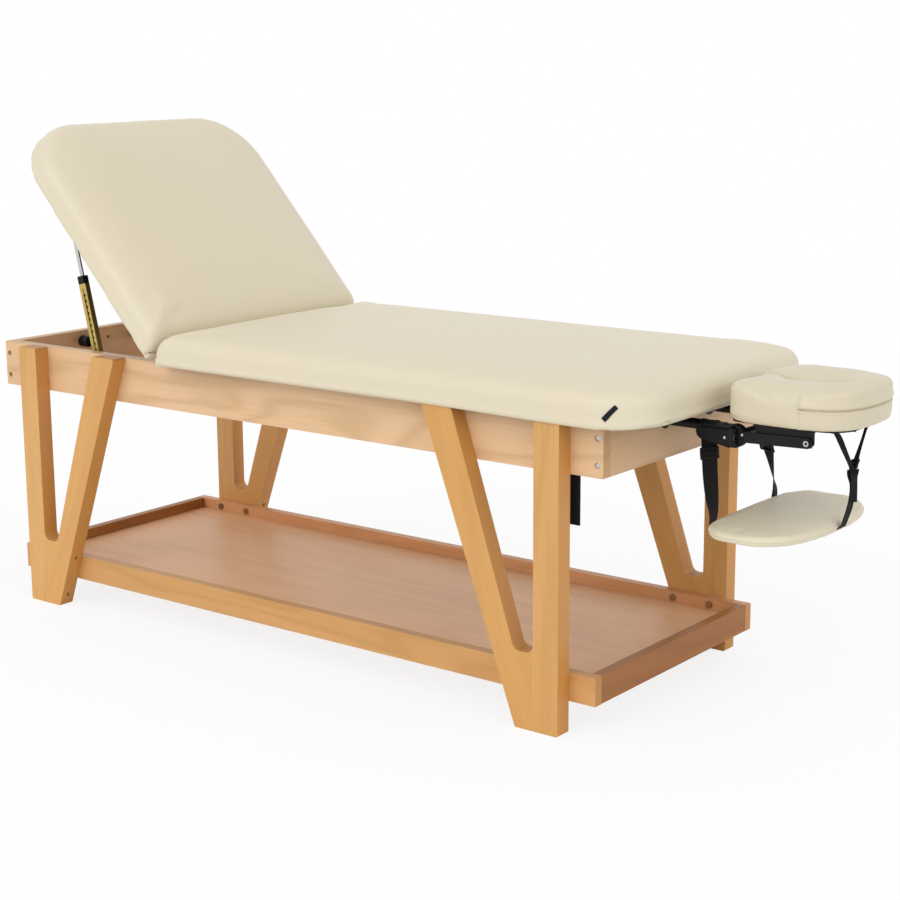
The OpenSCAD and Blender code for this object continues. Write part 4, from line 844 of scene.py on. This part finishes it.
class MASSAGE_OT_covers(bpy.types.Operator):
    """Stretch the simulated cream covers over the pads"""

    bl_idname = "massage.covers"
    bl_label = "Covers"

    def main_and_back(self, s, cream):
        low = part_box("main_pad")[0]
        hinge = Vector((low[0] + s.joint_in, 0.0, low[2] - s.lip + s.hinge_up))
        lean = math.radians(s.lift)
        lifted = Vector((math.sin(lean), 0.0, math.cos(lean)))
        free = Vector((-math.cos(lean), 0.0, math.sin(lean)))
        for name, body, node, up, away, seed in (
                ("cover_main", "table", "main_pad", Vector((0, 0, 1)), Vector((1, 0, 0)), 0.0),
                ("cover_back", "backrest", "back_pad", lifted, free, 7.0)):
            def height(at, up=up):
                return (at - hinge).dot(up) + s.hinge_up
            bm = remeshed(copied(node), s.voxel, height, s.held)
            bm = swollen(bm, s.pressure, s.swell, height, s.held)
            rippled(bm, s.ripple, depth=0.0009, height=height, flat=s.held * 1.5, seed=seed)
            for v in bm.verts:
                v.co -= away * (s.close * (1 - rise((v.co - hinge).dot(away), *DRAWN)))
            if name == "cover_main":
                for v in bm.verts:
                    low_side = rise(v.co.x, *HANGS_ALONG) * rise(abs(v.co.y), *HANGS_ACROSS)
                    v.co.z -= s.sag * low_side * (1 - rise(height(v.co), *HANGS_UP))
                for side in (-1, 1):
                    seam = smooth_run([(x, -side * y, z) for x, y, z in CORNER_SEAM], 24)
                    wide, deep = CORNER_GROOVE
                    grooved(bm, [Vector(r) for r in seam], s.seam * wide, s.seam_depth * deep)
            cover(name, bm, cream, body, node)

    def face(self, s, cream):
        """Evens the ring cushion's wall, narrows its opening, drops its ends and sinks its seams."""
        low, high = (Vector(v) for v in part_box("face_cushion"))
        mid, half, tall = (low + high) / 2, (high - low) / 2, high.z - low.z

        def height(at):
            return at.z - low.z

        def reach(a):
            """Distance of the outer wall from the middle, in the direction a."""
            power = OUTLINE[0] if math.cos(a) > 0 else OUTLINE[1]
            return (abs(math.cos(a) / half.x) ** power + abs(math.sin(a) / half.y) ** power) ** (-1 / power)

        def wall(share, z):
            """A place on the outer wall, at a share of the way round each lobe."""
            a = share * math.pi
            return Vector((mid.x + math.cos(a) * reach(a), mid.y + math.sin(a) * reach(a), low.z + z))

        bm = remeshed(copied("face_cushion"), s.fine_voxel, height, flat=0.004, rounds=6)
        for v in bm.verts:
            x, y, up = v.co.x - mid.x, v.co.y - mid.y, height(v.co) / tall
            full, out = reach(math.atan2(y, x)), math.hypot(x, y)
            if out > full - WALL_DEPTH and WALL_SHARES[0] < up < WALL_SHARES[1]:
                x, y = x * (full - WALL_BACK) / out, y * (full - WALL_BACK) / out
            narrowed = (rise(abs(y), *NARROWS_FROM) * (1 - rise(abs(y), *NARROWS_TO))
                        * (1 - rise(out / full, *NARROWS_OUT)) * rise(up, *NARROWS_UP))
            sides = 1 - HEAD_KEEPS * rise(x / out, *HEAD_END)
            if y < 0:
                sides *= 1 - rise(-x / half.x, *NEAR_LOBE)
            lobe, drop = (0, s.near_drop) if y < 0 else (1, s.far_drop)
            drop += s.gap_drop * (1 - rise(abs(y), 0.0, LOBE_GAPS[lobe]))
            lowered = (s.crown * sides * rise(out / full, *DROPS_OUT) ** 2 * up ** 3
                       + drop * (1 - rise(x + half.x, 0.0, LOBE_ENDS[lobe])) * up ** 2)
            v.co = (mid.x + x, mid.y + y - math.copysign(s.hole_in * narrowed, y), v.co.z - lowered)
        bm = swollen(bm, s.pressure, s.swell * 0.6, height, flat=0.006)
        rippled(bm, size=0.05, depth=0.0006, height=height, flat=0.01, seed=3.0)

        split = s.band * tall
        for z, (wide, deep), lips, cuts in ((split, SEAM_GROOVE, 0.25, 2),
                                            (split + s.fold, FOLD_GROOVE, 0.0, 0)):
            seam = [wall(k * s.seam_share, z) for k in np.linspace(-1.0, 1.0, 241)]
            grooved(bm, seam, s.seam * wide, s.seam_depth * deep, lips, cuts)
        for side in (-1, 1):
            upright = [wall(side * s.seam_share, z) for z in np.linspace(0.0, tall * WALL_SHARES[1], 35)]
            wide, deep = END_GROOVE
            grooved(bm, upright, s.seam * wide, s.seam_depth * deep, lips=0.4)
        cover("cover_face", bm, cream, "head", "face_cushion")

    def shelf(self, s, cream):
        """One cover over the arm shelf's pad and board, with a ring seam and narrowed tips."""
        low, high = (Vector(v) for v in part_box("shelf_pad"))
        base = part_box("shelf_board")[0][2]

        def height(at):
            return at.z - base

        bm = copied("shelf_pad")
        bm.from_mesh(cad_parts["shelf_board"].data)
        bmesh.ops.remove_doubles(bm, verts=bm.verts, dist=MERGED)
        bm = remeshed(bm, s.fine_voxel, height, flat=0.0015, rounds=5)
        mid, half = (low + high) / 2, (high - low) / 2
        for v in bm.verts:
            tip = rise(abs(v.co.y) / half.y, *TIP)
            v.co.x = mid.x + (v.co.x - mid.x) * (1 - s.point * tip * tip)
        bm = swollen(bm, s.pressure * 0.6, s.swell * 0.4, height, flat=0.008)
        rippled(bm, size=0.06, depth=0.0005, height=height, flat=0.006, seed=5.0)
        skin, level = bvhtree.BVHTree.FromBMesh(bm), Vector((mid.x, mid.y, low.z + 0.0005))
        ways = [lies(2 * a) for a in range(180)]
        ring = smooth_run([skin.ray_cast(level, way)[0] for way in ways], 4)
        grooved(bm, [Vector(r) for r in ring], width=0.0012, depth=0.0020, cuts=1)
        cover("cover_shelf", bm, cream, "shelf", "shelf_pad", "shelf_board")

    def tag(self, s, material):
        """Blank woven tag, laid on the pad's near side."""
        pad = bpy.data.objects["cover_main"]
        tree = bvhtree.BVHTree.FromObject(pad, bpy.context.evaluated_depsgraph_get())
        start, end = (Vector(v) for v in TAG_ENDS)
        along = end - start
        side = along.cross(Vector(TAG_FACES)).normalized()
        bm = bmesh.new()
        bmesh.ops.create_grid(bm, x_segments=20, y_segments=6, size=0.5)
        uv = bm.loops.layers.uv.new("tape")
        spots = {v: (v.co.x, v.co.y) for v in bm.verts}
        for v, (a, b) in spots.items():
            at, normal, _, _ = tree.find_nearest(start + along * (a + 0.5) + side * b * s.tag_width)
            v.co = at + normal * (s.tag_up - s.tag_hem * (abs(a) > TAG_HEM_AT))
        for f in bm.faces:
            for loop in f.loops:
                a, b = spots[loop.vert]
                loop[uv].uv = (b * s.tag_width, a * along.length)
        bmesh.ops.recalc_face_normals(bm, faces=bm.faces)
        thickened(piece("tag_blank", bm, material, "table", slot="webbing"), TAG_THICK)

    def execute(self, context):
        s = context.scene.massage_cover
        cream = cream_cover("cream_cover", s.cream, s.pebble)
        self.main_and_back(s, cream)
        self.face(s, cream_cover("face_cover", s.worn, s.pebble))
        self.shelf(s, cream)
        self.tag(s, webbing("woven_tag", s.tag))
        lean = math.radians(s.lift)
        dressed("main_board", painted_board("covered_main_board", s.underside, s.cream))
        dressed("back_board", painted_board("covered_back_board", s.underside, s.cream,
                                            (math.sin(lean), 0.0, math.cos(lean))))
        return {"FINISHED"}


class MASSAGE_OT_straps(bpy.types.Operator):
    """Hang the webbing, its sliders and the loop"""

    bl_idname = "massage.straps"
    bl_label = "Straps"

    def post_strap(self, s, end, x, side, turns, k, web, nylon):
        """Slings round a post, then twists down to the shelf's edge and folds under it."""
        post, foot = Vector((x, side * s.post_y, s.post_z)), Vector((s.foot_x, side * s.foot_y, s.shelf_top))

        def off(along, out, up):
            return Vector((along, side * out, up))

        rows = [(*(post + off(*LOOSE_END)), 0)]
        for a in POST_STATIONS:
            t, ring = math.radians(a), s.post_r + SLING
            rows.append((*(post + off(0.0, -ring * math.cos(t), ring * math.sin(t))), 0))
        top = post + off(*DROP_START)
        for share in DROP_STATIONS:
            bow = off(0.0, s.belly * math.sin(math.pi * share), 0.0)
            rows.append((*(top.lerp(foot, share) + bow), side * np.interp(share, *turns)))
        rows += [(*(foot + off(along, 0.0, up)), side * turns[1][-1]) for along, up in FOLD]
        obj = tape(f"strap_{end}_tape", rows, s.web, s.thick, web, None, f"strap_{end}", cup=0.0012)
        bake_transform(obj)
        slotted(f"slider_{end}", top.lerp(foot, k), side * np.interp(k, *turns), (top - foot).normalized(),
                (s.web + WIDER, *POST_SLIDER), POST_BARS, nylon, f"buckle_{end}")

    def branch(self, s, name, side, turns, knot, web):
        """One branch of the front strap, cut in two, from under the platform down to the junction."""
        def off(out, up):
            return Vector((0.0, side * out, up))

        top = Vector((s.branch_x, side * s.branch_y, s.platform_z - SEAT))
        rows = [(*(top + off(lap, 0.0)), 0) for lap in LAPS]
        ends = top + off(*LEAVES), knot + off(*JOINS)
        for i, turn in enumerate(turns):
            rows.append((*ends[0].lerp(ends[1], (i + FIRST_STEP) / len(turns)), turn))
        rows += [(*ends[1], turns[-1] * 0.5), (*(knot + off(*CROSSES)), 0)]
        cut, thick = len(LAPS) + 1, s.thick * BRANCH_THICK
        upper = tape(name + "_top", rows[:cut + 1], s.branch, thick, web, None)
        lower = tape(name, rows[cut:], s.branch, thick, web, None)
        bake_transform(upper)
        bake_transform(lower)

    def front(self, s, web, nylon):
        """The forked front strap, with its loose tail and its slider on the far branch."""
        knot = Vector((s.knot_x, 0.0, s.knot_z))
        self.branch(s, "branch_near", -1, NEAR_BRANCH, knot, web)
        self.branch(s, "branch_far", 1, FAR_BRANCH, knot, web)
        edge = Vector((s.edge_x, 0.0, s.shelf_z))
        run = [(*knot, 10)]
        run += [(*(knot.lerp(edge, k) + Vector((bow, 0.0, 0.0))), turn) for k, bow, turn in FRONT_RUN]
        run += [(edge.x - back, 0.0, edge.z + up, 90) for back, up in TUCK]
        obj = tape("front_tape", run, s.tape, s.thick, web, None, "strap_front", cup=0.001)
        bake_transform(obj)
        tail = [(knot.x + x, y, knot.z + z, turn) for x, y, z, turn in TAIL]
        tape("front_tail", tail, s.tape * TAIL_WIDTH, s.thick, web, "cradle")
        along = (Vector((s.branch_x, s.branch_y, s.platform_z)) - knot).normalized()
        slotted("slider_front", knot + along * s.slider_up, FRONT_BEARING, along,
                (s.branch + WIDER, *FRONT_SLIDER), FRONT_BARS, nylon, "front_slider")

    def execute(self, context):
        s, t = context.scene.massage_strap, context.scene.massage_trim
        web, nylon = webbing("strap_webbing", t.web), black_plastic("slider_nylon", t.plastic, 0.38)
        self.post_strap(s, "near", s.near_x, -1, NEAR_TURNS, s.near_slider, web, nylon)
        self.post_strap(s, "far", s.far_x, 1, FAR_TURNS, s.far_slider, web, nylon)
        self.front(s, web, nylon)
        dressed("hang_loop", webbing("loop_webbing", t.web, mapped=False))
        return {"FINISHED"}


class MASSAGE_OT_fittings(bpy.types.Operator):
    """Finish the metal and plastic fittings"""

    bl_idname = "massage.fittings"
    bl_label = "Fittings"

    def rivet(self, name, at, radius, steel, body, dome=0.45):
        """Low domed rivet head on a face that looks across the table; dome is its height by its radius."""
        bm = bmesh.new()
        bmesh.ops.create_uvsphere(bm, u_segments=20, v_segments=10, radius=radius)
        bmesh.ops.scale(bm, verts=bm.verts, vec=(1.0, dome, 1.0))
        bmesh.ops.translate(bm, verts=bm.verts, vec=at)
        piece(name, bm, steel, body, slot="plated_steel")

    def execute(self, context):
        s = context.scene.massage_trim
        plastic, paint = black_plastic("black_nylon", s.plastic), black_paint("black_powder_coat", s.plastic)
        steel = brushed_metal("plated_steel", s.steel)
        zinc = brushed_metal("yellow_zinc", s.zinc, rough=0.36, scratch=(30.0, 260.0, 30.0), warm=0.25)
        for n in ("cam_lever", "arm_discs", "stay_collar_near", "stay_collar_far"):
            edge_softened(dressed(n, plastic), s.moulded_edge)
        for n in ("posts", "cross_tube", "arms", "platform_brackets"):
            edge_softened(dressed(n, paint), s.painted_edge)
        for n in ("hinge_main", "hinge_back", "hinge_pins", "cam_pin", "tie_rod", "stay_rod_near",
                  "stay_rod_far"):
            dressed(n, steel)
        dressed("leg_bolts", brushed_metal("leg_bolts", s.leg_bolt, 0.4))
        dressed("rail_screws", brushed_metal("rail_screws", s.steel, dull=s.foot_screw))
        dressed("head_bolts", socket_head("socket_heads", s.steel, s.head_bolt, s.head_radius))
        self.rivet("rivet_lever", s.lever_rivet, s.rivet, steel, "cam")
        self.rivet("rivet_disc", s.disc_rivet, s.rivet, steel, "arms")
        for n in ("stay_mounts", "stay_clevises", "stay_channel_near", "stay_channel_far"):
            edge_softened(dressed(n, zinc), s.plated_edge)
        for n in ("bushes_foot", "bushes_head"):
            edge_softened(dressed(n, black_plastic("black_bush", s.plastic, 0.42)), s.bush_edge)
        edge_softened(dressed("platform", painted_board("black_platform", s.platform)), s.moulded_edge)
        return {"FINISHED"}


class MASSAGE_OT_stage(bpy.types.Operator):
    """Set the floor, lamps, background and camera"""

    bl_idname = "massage.stage"
    bl_label = "Stage"

    def execute(self, context):
        s = context.scene.massage_stage
        bm = bmesh.new()
        bmesh.ops.create_circle(bm, cap_ends=True, segments=96, radius=FLOOR_RADIUS)
        mesh = bpy.data.meshes.new("floor")
        bm.to_mesh(mesh)
        bm.free()
        floor = bpy.data.objects.new("floor", mesh)
        context.scene.collection.objects.link(floor)
        f = Finish("studio_floor", rough=0.9, spec=0.1)
        x, y = f.part(f.place, 0), f.part(f.place, 1)
        reach = (x * x + y * y) ** 0.5
        f.wire(f.mix(f.noise(f.place, 0.8, 2.0) * 0.03, (1.0, 1.0, 1.0), (0.96, 0.96, 0.97)), 0.9)
        away = f.add("ShaderNodeBsdfTransparent", {}, {})
        glow = f.add("ShaderNodeEmission", {}, {"Color": (1.0, 1.0, 1.0, 1.0), "Strength": 1.0})
        seen = f.add("ShaderNodeLightPath", {}, {}, "Is Camera Ray")
        lit = f.add("ShaderNodeMixShader", {}, {0: seen * s.white, 1: Sock(f, f.shader.outputs[0]), 2: glow})
        fade = f.add("ShaderNodeMixShader", {}, {0: reach.ramp(*FLOOR_FADE), 1: lit, 2: away})
        f.tree.links.new(fade.out, f.tree.nodes["Material Output"].inputs["Surface"])
        mesh.materials.append(f.material)

        world = bpy.data.worlds.new("studio")
        context.scene.world = world
        world.use_nodes = True
        tree = world.node_tree
        back = tree.nodes["Background"]
        path = tree.nodes.new("ShaderNodeLightPath")
        seen = tree.nodes.new("ShaderNodeMath")
        seen.operation = "MAXIMUM"
        tree.links.new(path.outputs["Is Camera Ray"], seen.inputs[0])
        tree.links.new(path.outputs["Is Glossy Ray"], seen.inputs[1])
        strength = tree.nodes.new("ShaderNodeMapRange")
        strength.inputs["To Min"].default_value = s.sky
        strength.inputs["To Max"].default_value = 1.0
        tree.links.new(seen.outputs[0], strength.inputs["Value"])
        tree.links.new(strength.outputs[0], back.inputs["Strength"])
        back.inputs["Color"].default_value = (1.0, 1.0, 1.0, 1.0)

        for name, toward, angle in LAMPS:
            lamp = bpy.data.lights.new(name, "SUN")
            lamp.energy, lamp.angle = getattr(s, name), math.radians(angle)
            obj = bpy.data.objects.new(name, lamp)
            obj.rotation_mode = "QUATERNION"
            obj.rotation_quaternion = Vector(toward).to_track_quat("Z", "Y")
            context.scene.collection.objects.link(obj)

        cam = bpy.data.objects.new("camera", bpy.data.cameras.new("camera"))
        context.scene.collection.objects.link(cam)
        cam.data.sensor_width, cam.data.lens = 36.0, s.lens
        cam.data.shift_x, cam.data.shift_y = CAMERA_SHIFT
        cam.rotation_mode = "QUATERNION"
        cam.location, cam.rotation_quaternion = CAMERA_AT, Matrix(CAMERA_TURN).to_quaternion()
        context.scene.camera = cam
        context.scene.view_settings.view_transform = "Standard"
        return {"FINISHED"}


class MASSAGE_PT_panel(bpy.types.Panel):
    """The table's settings and steps"""

    bl_idname = "MASSAGE_PT_panel"
    bl_label = "Massage table"
    bl_space_type = "VIEW_3D"
    bl_region_type = "UI"
    bl_category = "Massage table"

    def draw(self, context):
        for group in GROUPS:
            box, settings = self.layout.box(), getattr(context.scene, group)
            for name in settings.__annotations__:
                box.prop(settings, name)
        for step in STEPS:
            self.layout.operator(step.bl_idname)


GROUPS = {"massage_wood": WoodSettings, "massage_cover": CoverSettings, "massage_strap": StrapSettings,
          "massage_trim": TrimSettings, "massage_stage": StageSettings}
STEPS = (MASSAGE_OT_stage, MASSAGE_OT_wood, MASSAGE_OT_fittings, MASSAGE_OT_covers, MASSAGE_OT_straps)


def register():
    for cls in (*GROUPS.values(), *STEPS, MASSAGE_PT_panel):
        bpy.utils.register_class(cls)
    for name, cls in GROUPS.items():
        setattr(bpy.types.Scene, name, bpy.props.PointerProperty(type=cls))


def unregister():
    for name in GROUPS:
        delattr(bpy.types.Scene, name)
    for cls in (MASSAGE_PT_panel, *reversed(STEPS), *GROUPS.values()):
        bpy.utils.unregister_class(cls)


def main():
    register()
    for step in STEPS:
        group, name = step.bl_idname.split(".")
        getattr(getattr(bpy.ops, group), name)()


if __name__ == "__main__":
    main()
